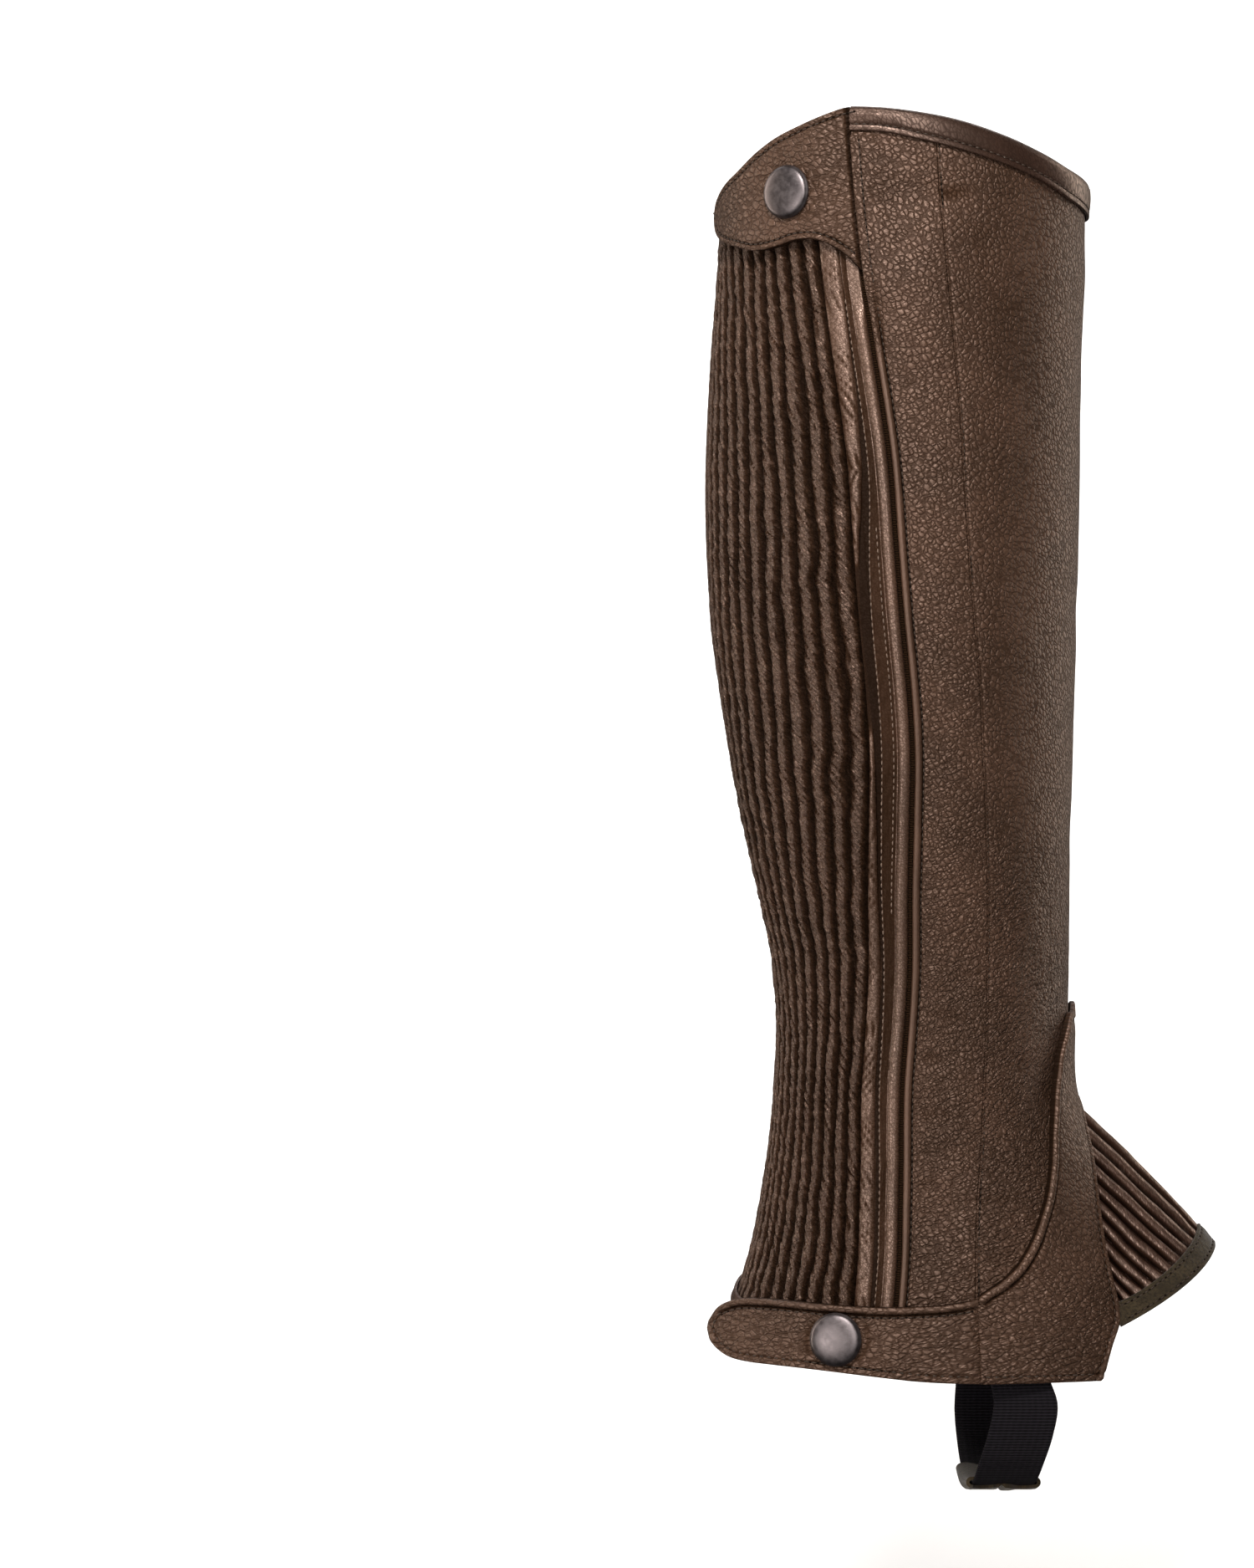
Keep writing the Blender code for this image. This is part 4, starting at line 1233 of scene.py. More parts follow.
def ankle_strap():
    angles = mix(STRAP_SEAM, STRAP["angle"][0], np.sin(np.linspace(0, np.pi / 2, 130)))[::-1, None]
    lines = graded(EDGE_MARKS, EDGE_MARKS, 20)
    height = squeezed(read(STRAP, "low", angles), read(STRAP, "high", angles), lines)
    angle = np.broadcast_to(angles, height.shape)
    edges = strap_edges(angle, height)
    out = read(STRAP, "out", angle) + LEATHER + edges
    cap = np.hypot((angle - STRAP_SNAP[0]) * 0.9, height - STRAP_SNAP[1])
    out += 0.22 * lumps(angle / 13, height / 9, 42) - 0.35 * hump(cap, 9.0, 1.6)
    seam = (STRAP_SEAM - angle) * SEAM_DEGREE
    out += rounded(seam, 0.5)
    # Painted shade in the strap's hollows, with only a little painted highlight on its crests, and none by
    # the seam.
    leg_piece(
        "strap", angle, height, out, read(STRAP, "out", angle) - 0.1, LOOKS["bold"], "pebbled_leather",
        ["ankle_strap"], mix(0.35, -0.35, smooth(edges, 0.15, 0.4)),
        np.maximum(hollows(out, 0.6), -0.12) * smooth(seam, 0.5, 2.5), held="laid",
        rests_on=["ankle_overlay", "zip_guard", "ribbed_panel"], stride=(5, 6),
    )


def slit_line():
    """Flat line up one side of the slit and down the other."""
    heights = np.linspace(OVERLAY_FOOT, SLIT_TOP, 80)
    outer = flat_points(slit("outer", heights), heights)
    inner = flat_points(slit("inner", heights[::-1]), heights[::-1])
    return np.concatenate((outer, inner))


def ankle_overlay():
    low_rows = np.linspace(0, 1, 112)
    high_rows = 1 + np.sin(np.linspace(0, np.pi / 2, 44))[1:]
    rows = np.concatenate((low_rows, high_rows))
    slit_row = len(low_rows) - 1

    def level(foot):
        def height(angle):
            low = mix(foot(angle), SLIT_TOP, np.minimum(rows, 1.0))
            tip = OVERLAY_TIP - 3.2 * np.clip((angle - 92) / 8, -1, 1) ** 2
            return np.where(rows <= 1.0, low, mix(SLIT_TOP, tip, rows - 1))

        return height

    def wing(start, end, lines, foot):
        columns = as_columns(lines)

        def line(height):
            return squeezed(start(height), end(height), columns)

        angle, height = settle(line, level(foot), np.full((1, len(rows)), -230.0))
        return angle, np.broadcast_to(height, angle.shape)

    marks = EDGE_MARKS
    few = EDGE_MARKS[:9]
    outer = wing(
        lambda h: read(OVERLAY, "outer", h), lambda h: slit("outer", h), graded(marks, few, 30),
        lambda a: np.full_like(a, OVERLAY_FOOT),
    )
    inner = wing(
        lambda h: slit("inner", h), lambda h: read(OVERLAY, "inner", h), graded(few, marks, 24),
        lambda a: np.maximum(OVERLAY_FOOT, hem_edge(a) + GAP),
    )
    angle = np.concatenate((outer[0], inner[0]))
    height = np.concatenate((outer[1], inner[1]))
    left = flat_points(angle[0], height[0])
    tip = flat_points(angle[:, -1], height[:, -1])
    right = flat_points(angle[-1], height[-1])[::-1]
    side = edge_distance(angle, height, np.concatenate((left[left[:, 1] > STRAP_TOP], tip, right)))
    front = edge_distance(angle, height, slit_line())
    foot = np.where(angle < 90, height - OVERLAY_FOOT, FAR)
    seam = np.where(height < STRAP_TOP, np.abs(angle - OVERLAY_SEAM) * SEAM_DEGREE, FAR)
    thin = mix(1.0, 0.5, smooth(height, -174, -164))
    out = LAY + (LEATHER + rolled(side)) * thin + rounded(front, 0.7) + 0.4 * hump(front, 1.0, 0.6)
    out += -0.22 * hump(front, 2.2, 0.4) + sewn(foot, 2.3) + rounded(seam, 0.5)
    out += read(OVERLAY, "off", height)
    inside = smooth(side, 2, 8) * smooth(front, 1, 6) * smooth(foot, 3, 9)
    out += 0.3 * lumps(angle / 17, height / 22, 43) * inside
    rest = 0.1 + read(OVERLAY, "off", height)
    # Painted shade in the overlay's hollows, with only a little painted highlight on its crests, and none by
    # the seam.
    hollow = np.maximum(hollows(out, 0.6), -0.12) * smooth(seam, 0.5, 2.5)
    wrinkled = 0.08 + 0.25 * smooth(height, -235, -262) + 0.2 * (angle > 100)
    wrinkled = mix(-0.35, wrinkled, smooth(np.minimum(side, front + 0.8), 2.0, 2.8))
    leg_piece(
        "overlay", angle, height, out, rest, LOOKS["panel"], "pebbled_leather", ["ankle_overlay"],
        wrinkled, hollow, held="laid", rests_on=["front_panel"],
        stride=(6, 6), slit_at=(outer[0].shape[0] - 1, slit_row),
    )


def patch_heights(share):
    """Heights from the patch's one end to the other."""
    heights = PATCH_EDGES["height"]
    return mix(heights[0], heights[-1], share)


def eased(count):
    """Shares from 0 to 1, closer together at both ends."""
    return (1 - np.cos(np.linspace(0, np.pi, count))) / 2


def patch_outline():
    up = patch_heights(eased(200))
    back = flat_points(read(PATCH_EDGES, "back", up), up)
    front = flat_points(read(PATCH_EDGES, "front", up), up)[::-1]
    return np.concatenate((back, front, back[:1]))


def inner_patch():
    rows = patch_heights(mix(np.linspace(0, 1, 150), eased(150), 0.75))[None, :]
    lines = as_columns(graded(EDGE_MARKS, EDGE_MARKS, 62))
    angle = squeezed(read(PATCH_EDGES, "front", rows), read(PATCH_EDGES, "back", rows), lines)
    height = np.broadcast_to(rows, angle.shape)
    edge = edge_distance(angle, height, patch_outline())
    out = LAY + PATCH + rounded(edge, 0.8) - 0.35 * hump(edge, 1.5, 0.5) - 0.75 * hump(edge, 7.4, 0.7)
    out += 0.2 * hump(edge, 4.4, 1.6) + 0.45 * smooth(edge, 8, 18)
    out += dents(angle, height, 0.9) * smooth(edge, 8, 16)
    leg_piece(
        "patch", angle, height, out, 0.1, LOOKS["panel"], "pebbled_leather", ["inner_patch"],
        0.1 + 0.7 * smooth(height, -20, -80), held="laid", rests_on=["front_panel"], stride=(6, 8),
    )


# Bindings


def binding(name, node_name, edge, fold, lie, wall_in, span, step, upward, seed):
    """A folded strip round an edge. Its section runs from the outer leg's foot over the crest to the
    inner leg's foot."""
    way = 1 if upward else -1
    angles = np.linspace(span[0], span[1], int(abs(span[1] - span[0]) / step) + 1)[:, None]
    reach = fold(angles)
    marks = np.array((0, 0.1, 0.25, 0.5, 0.8, 1.2, 1.6, 2.0, 2.4, 2.8, 3.3))
    middle = np.linspace(0, 1, 9)[1:]
    fixed = np.broadcast_to(marks, (len(angles), len(marks)))
    down = np.concatenate((fixed, mix(marks[-1], reach - 2.4, middle)), axis=1)
    lying = lie(angles)
    inside = -wall_in(angles) - LAY
    far = lying + BINDING
    near = inside - BINDING
    pillow = 0.4 * np.sin(np.pi * np.clip((down - 2.2) / (reach - 2.6), 0, 1))
    pucker = 0.05 * np.sin(angles * 2 * np.pi / 2.5) * hump(down, 3.0, 1.2)
    slow = 0.12 * lumps(angles / 9, down / 5, seed) * smooth(down, 2.4, 4)
    leg_out = far + rounded(down, 0.45) - 0.35 * hump(down, 2.1, 0.42) + pillow + pucker + slow
    leg_height = edge(angles) + way * (GAP + BINDING - reach + down)
    turn = np.radians(np.linspace(0, 180, 15))[None, 1:-1]
    centre = (far + near) / 2
    half = (far - near) / 2
    crest_height = edge(angles) + way * (GAP + BINDING - 2.2)
    shape = np.sign(np.cos(turn)) * np.abs(np.cos(turn)) ** 0.85
    crest_out = centre + half * shape
    crest_up = crest_height + way * 2.2 * np.sin(turn)
    inner_down = mix(0, reach - 2.4, np.linspace(1, 0, 9))
    inner_out = near - rounded(inner_down, 0.45) + 0.3 * hump(inner_down, 2.1, 0.42)
    inner_height = edge(angles) + way * (GAP + BINDING - reach + inner_down)
    out = np.concatenate((leg_out, crest_out, inner_out), axis=1)
    height = np.concatenate((leg_height, crest_up, inner_height), axis=1)
    foot_skin = np.broadcast_to(lying + 0.05, leg_out.shape)
    inner_skin = np.broadcast_to(inside, inner_out.shape)
    skin = np.concatenate((foot_skin, mix(lying, inside, turn / np.pi), inner_skin), axis=1)
    over_crest = np.broadcast_to(np.sin(turn), crest_out.shape)
    drop = np.concatenate((np.zeros(leg_out.shape), over_crest, np.zeros(inner_out.shape)), axis=1)
    skin_height = height - way * BINDING * drop
    angle = np.broadcast_to(angles, out.shape)
    outer = on_leg(angle, height, out)
    inner = on_leg(angle, skin_height, skin)
    if not upward:
        outer, inner, angle, height = outer[::-1], inner[::-1], angle[::-1], height[::-1]
    mesh = wall_mesh(name, outer, inner, stride=(4, 4))
    set_wall_cloth(mesh, angle.shape, x=angle, y=along_line(outer[0]), crease=0.12)
    piece = add_piece(name, mesh, LOOKS["binding"], [node_name])
    cut_sheet(outer)


def ease(angle, start, end):
    return np.clip((angle - start) / (end - start), 0.0, 1.0)


def over_wing(angle):
    """The hem's fold goes over the overlay's inner wing as well."""
    return mix(LAY + LEATHER + LAY, LAY, smooth(angle, 151.5, 155.5))


def constant(value):
    return lambda angle: np.full(np.shape(angle), float(value))


def bindings():
    joint = float(rib_edge(100))
    front = float(zip_line(122)) + 1.2

    def top_fold(angle):
        return read(TOP, "fold", angle)

    def hem_fold(angle):
        return read(HEM, "fold", hem_angle(angle))

    binding("top_fold", "top_binding", top_edge, top_fold, constant(LAY), constant(LEATHER),
            (front, joint + 0.3), 0.9, True, 51)
    binding("back_fold", "back_binding", top_edge, top_fold, constant(LAY), constant(RIBBED),
            (joint + 0.4, BACK_BINDING_END), 0.9, True, 52)
    binding("hem_fold", "hem_binding", hem_edge, hem_fold, over_wing,
            lambda a: mix(LEATHER, RIBBED, ease(a, 222, 226)), (134.5, 336.5), 0.9, False, 53)


# Instep gusset


def gusset_flat(across, along):
    share = np.abs(across)
    outer = across < 0
    height = mix(SLIT_TOP, GUSSET_FOOT, share)
    forward = np.where(outer, -1.0, 1.0) * np.minimum(share * 8, 1)
    wing_angle = np.where(outer, slit("outer", height), slit("inner", height))
    start = on_leg(wing_angle + forward, height, -0.1)
    turn = np.radians(90 * share**0.8)
    back = np.where(outer, TOE_BACK_OUTER, TOE_BACK_INNER)
    aside = np.where(outer, -1.0, 1.0)
    end = np.stack((
        mix(back, TOE[0], np.cos(turn)),
        aside * TOE_HALF_WIDTH * np.sin(turn),
        TOE[1] - TOE_DROP * (1 - np.cos(turn)) ** 0.7,
    ), axis=-1)
    points = mix(start, end, np.asarray(along)[..., None])
    arc = 4 * along * (1 - along)
    points[..., 2] += arc * (GUSSET_ROUND * (1 - share) - 1.6 * share * (1 - share) * 4)
    return points


def gusset_point(across, along, out):
    """Points of the gusset, moved out. across runs from -1, the outer wing, to 1, and along from 0
    at the wing to 1 at the hem."""
    across, along, out = np.broadcast_arrays(across, along, out)
    step = 0.02
    side = np.where(across < 0, -1.0, 1.0)
    share = np.abs(across)
    low = np.maximum(share - step, 0.0)
    first = np.maximum(along - step, 0.0)
    sideways = gusset_flat(side * (low + 2 * step), along) - gusset_flat(side * np.maximum(low, 1e-9), along)
    forwards = gusset_flat(across, np.minimum(first + 2 * step, 1.0)) - gusset_flat(across, first)
    normal = np.cross(sideways, forwards) * -side[..., None]
    normal[..., 1] *= smooth(share, 0.0, 2 * step)
    normal /= np.linalg.norm(normal, axis=-1, keepdims=True)
    return gusset_flat(across, along) + normal * out[..., None]


def gusset_length(across, first, last):
    """Millimetres of the gusset between two shares of its way."""
    return np.linalg.norm(gusset_flat(across, last) - gusset_flat(across, first), axis=-1)


def band_start(across):
    return np.maximum(1 - BAND_WIDTH / gusset_length(across, 0.0, 1.0), 0.2)


def gusset():
    per_rib = 12
    columns = GUSSET_RIBS * per_rib
    across = GUSSET_REACH * np.linspace(-1, 1, columns + 1)[:, None]
    start = band_start(across)
    share = np.linspace(0, 1, 44)[None, :]
    along = share * (start + 0.3 * (1 - start))
    distance = along / start * gusset_length(across, 0.0, start)
    u = (across + 1) / 2 * GUSSET_RIBS
    sway = 0.10 * lumps(u * 0.7, distance / 9, 61)
    crest = arch(np.mod(u + sway, 1.0), 0.5, 0.43)
    ends = smooth(along / start, 1.02, 0.90) * smooth(distance, 0.0, 3.0)
    out = -GUSSET_DEPTH * 1.25 * (1 - crest) * mix(0.35, 1.0, ends)
    out += 0.14 * crest * lumps(u * 2.3, distance / 3.2, 62) * ends
    outer = gusset_point(across, along, out)
    inner = gusset_point(across, along, -GUSSET)
    mesh = wall_mesh("gusset_ribs", outer, inner, stride=(per_rib, 6))
    # Painted shade in the valleys between the ribs and a painted highlight on their crests.
    hollow = 1 - crest - 0.4 * smooth(crest, 0.85, 1.0)
    set_wall_cloth(mesh, out.shape, x=4.5 * u, y=distance, hollow=hollow)
    piece = add_piece("gusset_ribs", mesh, LOOKS["gusset"], ["instep_gusset"])
    cut_sheet(outer)


def band_grid():
    across = GUSSET_REACH * np.linspace(-1, 1, 181)[:, None]
    start = band_start(across)
    marks = np.array((0, 0.1, 0.3, 0.6, 1.0, 1.4, 1.8, 2.3))
    share, left, right = (values[None, :] for values in graded(marks, marks, 8))
    length = gusset_length(across, start, 1.0)
    room = np.minimum(1.0, 0.45 * length / marks[-1])
    distance = mix(left * room, length - right * room, share)
    return across, mix(start, 1.0, distance / length), distance, length


def band():
    across, along, distance, length = band_grid()
    edge = np.minimum(distance, length - distance)
    out = BAND_OUT + rounded(edge, 0.6) - 0.22 * hump(edge, 1.5, 0.4)
    out += 0.10 * lumps(across * 40, distance / 3, 63)
    face = gusset_point(across, along, out)
    mesh = wall_mesh("band", face, gusset_point(across, along, 0.05), stride=(5, 5))
    set_wall_cloth(mesh, distance.shape, x=60 * across, y=distance)
    piece = add_piece("band", mesh, LOOKS["suede"], ["gusset_band"])
    cut_sheet(face)


# Foot elastic


def strap_curve():
    inside = -LEATHER - LAY - ELASTIC / 2 - 0.2
    behind_binding = inside - BINDING - LAY
    stations = [[on_leg(a, height, inside) for a in SEWN_OUTER] for height in SEWN_HEIGHTS]
    for y, height, back, front in zip(*(FOOT_STRAP[n] for n in ("y", "height", "back", "front"))):
        stations.append([np.array((back, y, height)), np.array((front, y, height))])
    stations += [[on_leg(a, height, behind_binding) for a in SEWN_INNER] for height in SEWN_HEIGHTS[::-1]]
    stations = np.array(stations)
    curve = {"place": np.arange(len(stations), dtype=float)}
    for edge in (0, 1):
        for axis in range(3):
            curve[(edge, axis)] = stations[:, edge, axis]
    return curve


def strap_point(curve, along, across, out):
    along, across, out = np.broadcast_arrays(along, across, out)

    def middle(place):
        ends = [np.stack([read(curve, (edge, axis), place) for axis in range(3)], axis=-1) for edge in (0, 1)]
        return mix(ends[0], ends[1], across[..., None]), ends[1] - ends[0]

    forwards = middle(along + 0.05)[0] - middle(along - 0.05)[0]
    here, width = middle(along)
    normal = np.cross(forwards, width)
    normal /= np.linalg.norm(normal, axis=-1, keepdims=True)
    return here + normal * out[..., None]


def sleeve(curve, rows, across, out, ends):
    """A tube round the elastic's line, where the wrap is. ends moves its two rims."""
    share = np.linspace(0, 1, rows + 1)[None, :]
    along = mix(WRAP_FROM + ends[0][:, None], WRAP_TO + ends[1][:, None], share)
    points = strap_point(curve, along, across[:, None], out[:, None])
    size = rows + 1
    count = len(across)
    c, r = np.meshgrid(np.arange(count), np.arange(rows), indexing="ij")
    after = (c + 1) % count
    quads = np.stack((c * size + r, after * size + r, after * size + r + 1, c * size + r + 1), axis=-1)
    return points, quads.reshape(-1, 4), along


def foot_elastic():
    curve = strap_curve()
    last = len(curve["place"]) - 1
    across = np.array((0, 0.015, 0.04, 0.08, 0.16, 0.28, 0.4, 0.5, 0.6, 0.72, 0.84, 0.92, 0.96, 0.985, 1.0))
    along = np.linspace(0, last, 150)[None, :]
    edge = np.minimum(across, 1 - across) * ELASTIC_WIDTH
    half = ELASTIC / 2 + rounded(edge, 0.55)
    outer = strap_point(curve, along, across[:, None], half[:, None])
    inner = strap_point(curve, along, across[:, None], -half[:, None])
    mesh = wall_mesh("elastic", outer[::-1], inner[::-1], stride=(2, 3))
    distance = along_line(strap_point(curve, along[0], 0.5, 0.0))
    set_wall_cloth(mesh, outer.shape[:2], x=across[::-1, None] * ELASTIC_WIDTH, y=distance)
    piece = add_piece("elastic", mesh, LOOKS["elastic"], ["foot_strap"])
    cut_sheet(outer)


def strap_wrap():
    """A leather sleeve whose ends are cut unevenly, lapped along the middle of its outer face."""
    curve = strap_curve()
    width = ELASTIC_WIDTH
    thick = ELASTIC / 2 + 0.15
    wall = WRAP - 0.2
    face = np.linspace(0.02, 0.98, 40)
    side = np.linspace(-90, 90, 9)[1:-1]

    def ring(clear):
        radius = thick + clear
        notch = 0.75 * hump(face, 0.46, 0.03) if clear > 0.5 else 0 * face
        lap = 0.35 * smooth(face, 0.47, 0.52) * smooth(face, 0.75, 0.6) if clear > 0.5 else 0 * face
        bulge = radius * np.cos(np.radians(side)) / width
        rise = radius * np.sin(np.radians(side))
        across = np.concatenate((face, 1 + bulge[::-1], face[::-1], -bulge))
        return across, np.concatenate((radius - notch + lap, rise[::-1], np.full(len(face), -radius), rise))

    rows = 52
    sections = [ring(wall), ring(0.0)]
    count = len(sections[0][0])
    around = np.arange(count)
    level = np.clip(sections[0][0], 0, 1)
    top_wave = 0.12 * np.sin(level * 9.5) * (around < len(face)) + 0.05 * lumps(around / 7.0, 0.5, 71)
    end_wave = 0.10 * np.sin(level * 8 + 1.0) + 0.05 * lumps(around / 6.0, 2.5, 72)
    outer, quads, along = sleeve(curve, rows, *sections[0], (top_wave, end_wave))
    inner = sleeve(curve, rows, *sections[1], (top_wave, end_wave))[0]
    size = rows + 1
    total = count * size
    faces = quads.tolist() + (quads[:, ::-1] + total).tolist()
    for c in range(count):
        after = (c + 1) % count
        faces.append([c * size, total + c * size, total + after * size, after * size])
        low, next_low = c * size + rows, after * size + rows
        faces.append([low, next_low, total + next_low, total + low])
    mesh = mesh_of("wrap", np.concatenate((outer.reshape(-1, 3), inner.reshape(-1, 3))), faces)
    work = bmesh.new()
    work.from_mesh(mesh)
    bmesh.ops.recalc_face_normals(work, faces=work.faces)
    work.to_mesh(mesh)
    work.free()
    set_wall_cloth(mesh, along.shape, x=0.6 * around[:, None], y=10 * along)
    piece = add_piece("wrap", mesh, LOOKS["suede"], ["strap_wrap"])
    cut_sheet(outer)


# Snaps


def snap(name, node_name, angle, height, out):
    """A domed cap with a turned-down rim, set on the leather."""
    steps = 96
    profile = [(0.0, CAP_HEIGHT)]
    for turn in np.linspace(4, 84, 20):
        r = (CAP_RADIUS - 0.5) * math.sin(math.radians(turn)) ** 0.92
        profile.append((r, 0.75 + (CAP_HEIGHT - 0.75) * math.cos(math.radians(turn)) ** 0.8))
    for inward, z in ((0.22, 0.68), (0.05, 0.45), (0.0, 0.2), (0.1, -0.05), (0.6, -0.25)):
        profile.append((CAP_RADIUS - inward, z))
    profile.append((0.0, -0.25))
    around = on_leg(angle + 1, height, out) - on_leg(angle - 1, height, out)
    upward = on_leg(angle, height + 1, out) - on_leg(angle, height - 1, out)
    normal = np.cross(around, upward)
    normal /= np.linalg.norm(normal)
    side = around / np.linalg.norm(around)
    up = np.cross(normal, side)
    centre = on_leg(angle, height, out) + normal * GAP
    ring = len(profile) - 2
    points = [(0.0, 0.0, profile[0][1])]
    turns = np.linspace(0, 2 * math.pi, steps, endpoint=False)
    for r, z in profile[1:-1]:
        points += [(r * math.cos(t), r * math.sin(t), z) for t in turns]
    points.append((0.0, 0.0, profile[-1][1]))
    faces = []
    for k in range(steps):
        after = (k + 1) % steps
        faces.append([0, 1 + k, 1 + after])
        for j in range(ring - 1):
            low = 1 + j * steps
            faces.append([low + k, low + steps + k, low + steps + after, low + after])
        faces.append([1 + (ring - 1) * steps + k, len(points) - 1, 1 + (ring - 1) * steps + after])
    local = np.array(points)
    placed = centre + local @ np.stack((side, up, normal))
    mesh = mesh_of(name, placed, faces)
    set_cloth(mesh, local[:, 0], local[:, 1])
    add_piece(name, mesh, LOOKS["metal"], [node_name], sharp=60)


# Stitching


def leg_line(angle, height, out):
    """A line on the leg and one a millimetre further out, for its stitches."""
    angle, height, out = np.broadcast_arrays(angle, height, out)
    return on_leg(angle, height, out), on_leg(angle, height, out + 1)


def flat_line(line, out):
    """The same for a line of flat places."""
    return leg_line(line[:, 0], line[:, 1], out(line[:, 0], line[:, 1]))


def along_row(place, distance, line):
    """Points of a row at distances along it."""
    return np.stack([np.interp(place, distance, line[:, axis]) for axis in range(3)], axis=-1)


def row_frame(place, distance, line, above):
    """Points of a row of stitches, with the directions up, forward and aside there."""
    centre = along_row(place, distance, line)
    up = along_row(place, distance, above) - centre
    up /= np.linalg.norm(up, axis=-1, keepdims=True)
    forward = along_row(place + 0.05, distance, line) - along_row(place - 0.05, distance, line)
    forward /= np.linalg.norm(forward, axis=-1, keepdims=True) + 1e-9
    return centre, up, forward, np.cross(forward, up)


def stitch_rows(
    name, rows, pitch=2.5, radius=0.27, look="thread", holes=True
):
    """Rows of stitches: each is a short bowed thread between two needle holes."""
    sides = 6
    rings = 5
    share = 0.68
    hole_radius = 0.36
    points = []
    faces = []
    dark = []
    total = 0
    turn = np.linspace(0, 2 * np.pi, sides, endpoint=False)
    t = np.linspace(0, 1, rings)
    for line, above in rows:
        distance = along_line(line)
        count = max(int(distance[-1] / pitch), 1)
        step = distance[-1] / count
        starts = (np.arange(count) + 0.5 * (1 - share)) * step
        place = starts[:, None] + t[None, :] * share * step
        centre, up, forward, aside = row_frame(place, distance, line, above)
        bow = radius * (1.35 * np.sin(np.pi * t) - 0.55)
        thick = radius * (0.55 + 0.45 * np.sin(np.pi * t))
        centre = centre + up * bow[None, :, None]
        ring = (
            centre[:, :, None, :]
            + aside[:, :, None, :] * (thick[None, :, None] * np.cos(turn)[None, None, :])[..., None]
            + up[:, :, None, :] * (thick[None, :, None] * np.sin(turn)[None, None, :])[..., None]
        )
        points.append(ring.reshape(-1, 3))
        base = total + np.arange(count)[:, None, None] * rings * sides
        j = np.arange(rings - 1)[None, :, None] * sides
        k = np.arange(sides)[None, None, :]
        after = (np.arange(sides) + 1)[None, None, :] % sides
        corners = (base + j + k, base + j + sides + k, base + j + sides + after, base + j + after)
        faces += np.stack(corners, axis=-1).reshape(-1, 4).tolist()
        caps = total + np.arange(count) * rings * sides
        faces += [[c + s for s in range(sides)] for c in caps]
        faces += [[c + (rings - 1) * sides + s for s in reversed(range(sides))] for c in caps]
        total += count * rings * sides
        # Dark discs at the needle holes: painted shade in the holes.
        if holes:
            centre, up, forward, aside = row_frame(np.arange(count + 1) * step, distance, line, above)
            disc = (
                centre[:, None, :]
                + up[:, None, :] * 0.07
                + aside[:, None, :] * (hole_radius * np.cos(turn))[None, :, None]
                + forward[:, None, :] * (hole_radius * 1.25 * np.sin(turn))[None, :, None]
            )
            points.append(disc.reshape(-1, 3))
            first = len(faces)
            faces += [[total + c * sides + s for s in range(sides)] for c in range(count + 1)]
            dark += range(first, len(faces))
            total += (count + 1) * sides
    mesh = mesh_of(name, np.concatenate(points), faces)
    index = np.zeros(len(faces), np.int32)
    index[dark] = 1
    mesh.materials.append(LOOKS[look])
    mesh.materials.append(LOOKS["hole"])
    mesh.polygons.foreach_set("material_index", index)
    mesh.shade_smooth()
    piece = in_scene(name, mesh)
    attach(piece, BODY)


def panel_stitches():
    heights = np.linspace(-256, 113, 460)
    rows = [leg_line(side_seam(heights, 0.8), heights, -0.28)]
    stitch_rows("seam_stitches", rows, pitch=2.1, radius=0.2)
    low = np.linspace(-262, 62, 420)
    high = np.linspace(66, 112, 80)
    row = 2.9
    rim = [leg_line(zip_line(low, GROOVE / 2 + row), low, -0.25)]
    rim.append(leg_line(zip_line(high, GROOVE / 2 + row), high, rim_height(row, high) + 0.04))
    stitch_rows("rim_stitches", rim, pitch=2.3, radius=0.24)
    bead = -GROOVE / 2 - BEAD
    guard = [leg_line(zip_line(low, bead - read(GUARD_STRIP, "ridge", low) + 0.1), low, -0.42)]
    middle = low[(low > -135) & (low < -10)]
    guard.append(leg_line(zip_line(middle, bead - 1.3), middle, -0.85))
    stitch_rows(
        "guard_stitches", guard, pitch=2.2, radius=0.24,
        look="pale_thread", holes=False,
    )


def edge_stitches():
    flap = inset(flap_outline(), -2.0)[6:-6]
    rows = [flat_line(flap, lambda a, h: read(FLAP, "out", a) + LEATHER - 0.3)]
    stitch_rows("flap_stitches", rows, pitch=2.3)

    foot = inset(strap_outline(), -2.3)[2:-2]
    turn = len(foot) // 2 + 25
    top = inset(strap_outline(), -3.3)[turn:-2]
    rows = [flat_line(foot[:turn], lambda a, h: read(STRAP, "out", a) + LEATHER - 0.32)]
    rows.append(flat_line(top, lambda a, h: read(STRAP, "out", a) + LEATHER - 0.1))
    foot = np.linspace(15.5, float(slit("outer", OVERLAY_FOOT)) - 2.5, 60)
    rows.append(leg_line(foot, OVERLAY_FOOT + 2.3, LAY + LEATHER - 0.32))
    stitch_rows("strap_stitches", rows, pitch=2.6)

    down = np.linspace(SLIT_TOP - 3, OVERLAY_FOOT + 3, 90)
    rows = [leg_line(slit("outer", down) - 2.3, down, LAY + LEATHER - 0.22)]
    rows.append(leg_line(slit("inner", down) + 2.3, down, LAY + LEATHER - 0.22))
    side = np.linspace(-178, -270, 80)
    side_out = LAY + LEATHER + read(OVERLAY, "off", side) - 0.05
    rows.append(leg_line(read(OVERLAY, "inner", side) - 3.2, side, side_out))
    stitch_rows("overlay_stitches", rows, pitch=2.4, radius=0.2)

    outline = patch_outline()
    rows = []
    for distance, sink in ((1.5, -0.33), (7.4, -0.7)):
        rows.append(flat_line(inset(outline, distance), lambda a, h, s=sink: LAY + PATCH + s + 0 * a))
    stitch_rows("patch_stitches", rows, pitch=2.4, radius=0.24)


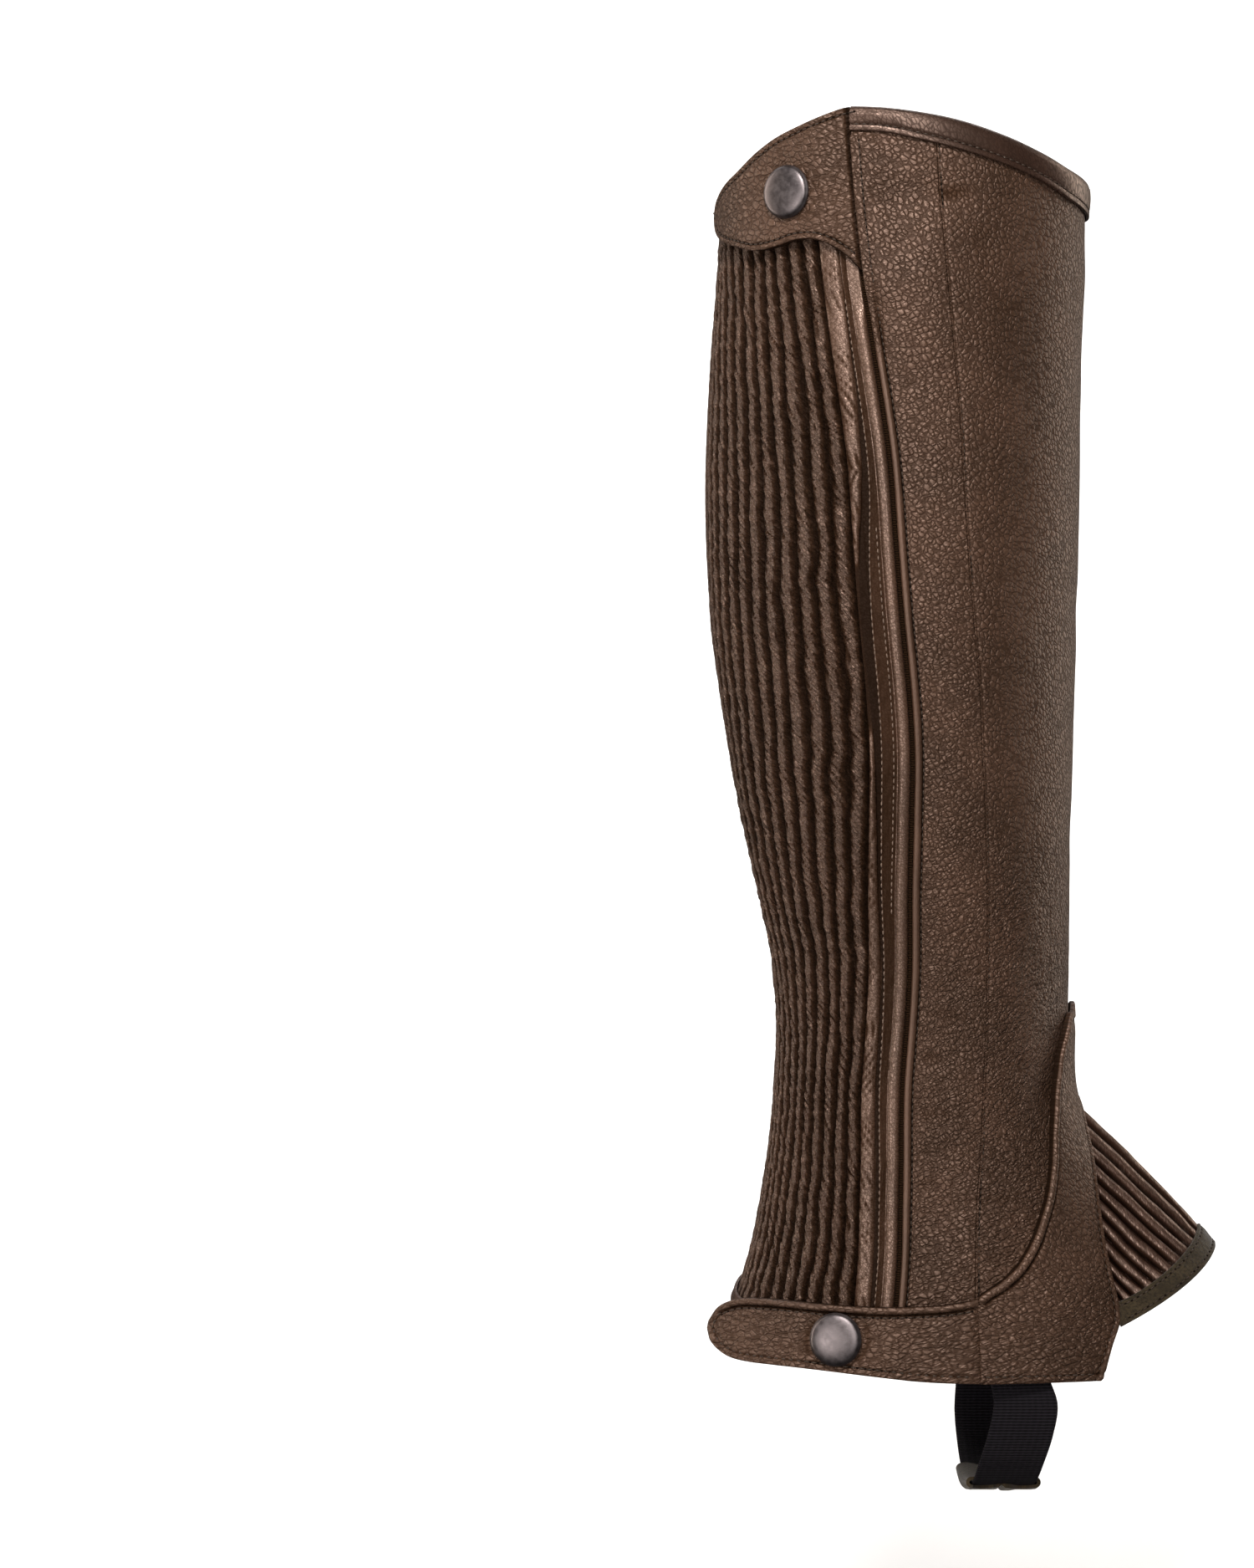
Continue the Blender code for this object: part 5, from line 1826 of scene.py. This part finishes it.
def binding_stitches():
    top = np.linspace(float(zip_line(122)) + 2, float(rib_edge(100)), 500)
    back = np.linspace(float(rib_edge(100)) + 1, BACK_BINDING_END - 1, 200)
    hem = np.linspace(135.5, 335, 500)

    def row(angles, edge, way, lie, fold):
        height = edge(angles) + way * (GAP + BINDING - fold + 2.1)
        return leg_line(angles, height, lie + BINDING - 0.33)

    rows = [row(a, top_edge, 1, LAY, read(TOP, "fold", a)) for a in (top, back)]
    rows.append(row(hem, hem_edge, -1, over_wing(hem), read(HEM, "fold", hem_angle(hem))))
    stitch_rows("binding_stitches", rows, pitch=2.5)


def band_stitches():
    across = np.linspace(-0.97, 0.97, 160)
    start = band_start(across)
    length = gusset_length(across, start, 1.0)
    out = BAND_OUT - 0.2
    rows = []
    for place in (1.5 / length, 1 - 1.5 / length):
        along = mix(start, 1.0, np.clip(place, 0.05, 0.95))
        rows.append((gusset_point(across, along, out), gusset_point(across, along, out + 1)))
    stitch_rows("band_stitches", rows, pitch=2.3, radius=0.2)


# Stage, lights and camera


def stage():
    """A pale floor that curves up into a backdrop."""
    floor = -0.40
    wall = 1.6
    bend = 0.9
    profile = [(-3.0, floor)]
    for turn in np.linspace(0, math.pi / 2, 16):
        profile.append((wall + bend * math.sin(turn), floor + bend * (1 - math.cos(turn))))
    profile.append((wall + bend, 3.0))
    points = [(x, y, z) for x in (-4.0, 4.0) for y, z in profile]
    count = len(profile)
    faces = [[k, k + count, k + count + 1, k + 1] for k in range(count - 1)]
    mesh = bpy.data.meshes.new("backdrop")
    mesh.from_pydata(points, [], faces)
    mesh.shade_smooth()
    material = new_material("backdrop", 0.9, base_color=(0.80, 0.80, 0.80, 1.0), specular_ior_level=0.0)[0]
    mesh.materials.append(material)
    backdrop = in_scene("backdrop", mesh)
    backdrop.visible_glossy = False


def light(name, place, target, size, power, colour=(1.0, 1.0, 1.0)):
    data = bpy.data.lights.new(name, "AREA")
    data.shape = "RECTANGLE"
    data.size, data.size_y = size
    data.energy = power
    data.color = colour
    lamp = in_scene(name, data)
    lamp.location = place
    away = np.array(place) - np.array(target)
    lamp.rotation_euler = Vector(away).to_track_quat("Z", "Y").to_euler()


def lights():
    world = bpy.data.worlds.new("studio")
    bpy.context.scene.world = world
    world.use_nodes = True
    back = world.node_tree.nodes["Background"]
    back.inputs["Color"].default_value = (1.0, 1.0, 1.0, 1.0)
    back.inputs["Strength"].default_value = 0.055
    light("key", (-0.16, -0.85, 0.72), (0.0, 0.0, 0.0), (0.14, 0.22), 16, (1.0, 0.96, 0.92))
    light("front", (0.12, -2.0, 0.35), (0.0, 0.0, -0.05), (0.25, 1.4), 20, (1.0, 0.96, 0.92))
    light("low_left", (-1.1, -1.3, -0.3), (0.0, 0.0, -0.2), (0.4, 0.4), 13, (1.0, 0.95, 0.90))
    light("rim", (1.5, 1.1, 0.1), (0.0, 0.0, -0.1), (0.7, 1.8), 16, (1.0, 0.84, 0.70))
    light("left_rim", (-1.6, 0.45, 0.1), (0.0, 0.0, -0.1), (0.3, 1.8), 18, (1.0, 0.88, 0.76))
    light("backdrop_wash", (0.0, 1.3, 1.9), (0.0, 2.6, 0.0), (3.0, 0.8), 90)


def camera():
    data = bpy.data.cameras.new("camera")
    data.sensor_width = SENSOR
    data.lens = SENSOR * CAMERA_DISTANCE * PIXELS_PER_MM / PHOTO[1]
    data.clip_start = 0.05
    data.clip_end = 50.0
    viewer = in_scene("camera", data)
    x = (PHOTO[0] / 2 - PHOTO_ORIGIN[0]) / PIXELS_PER_MM
    z = (PHOTO_ORIGIN[1] - PHOTO[1] / 2) / PIXELS_PER_MM
    viewer.location = (x * MM, -CAMERA_DISTANCE * MM, z * MM)
    viewer.rotation_euler = (math.radians(90), 0.0, 0.0)
    bpy.context.scene.camera = viewer
    bpy.context.scene.view_settings.view_transform = "Standard"
    bpy.context.scene.view_settings.look = "None"


def main():
    make_looks()
    camera()
    stage()
    lights()
    front_panel()
    rear_panel()
    ribbed_panel()
    zip_guard()
    zip_parts()
    top_flap()
    snap("flap_snap", "top_snap", *FLAP_SNAP, float(read(FLAP, "out", FLAP_SNAP[0])) + LEATHER)
    ankle_strap()
    snap("strap_snap", "ankle_snap", *STRAP_SNAP, float(read(STRAP, "out", STRAP_SNAP[0])) + LEATHER)
    ankle_overlay()
    inner_patch()
    bindings()
    gusset()
    band()
    foot_elastic()
    strap_wrap()
    panel_stitches()
    edge_stitches()
    binding_stitches()
    band_stitches()


main()
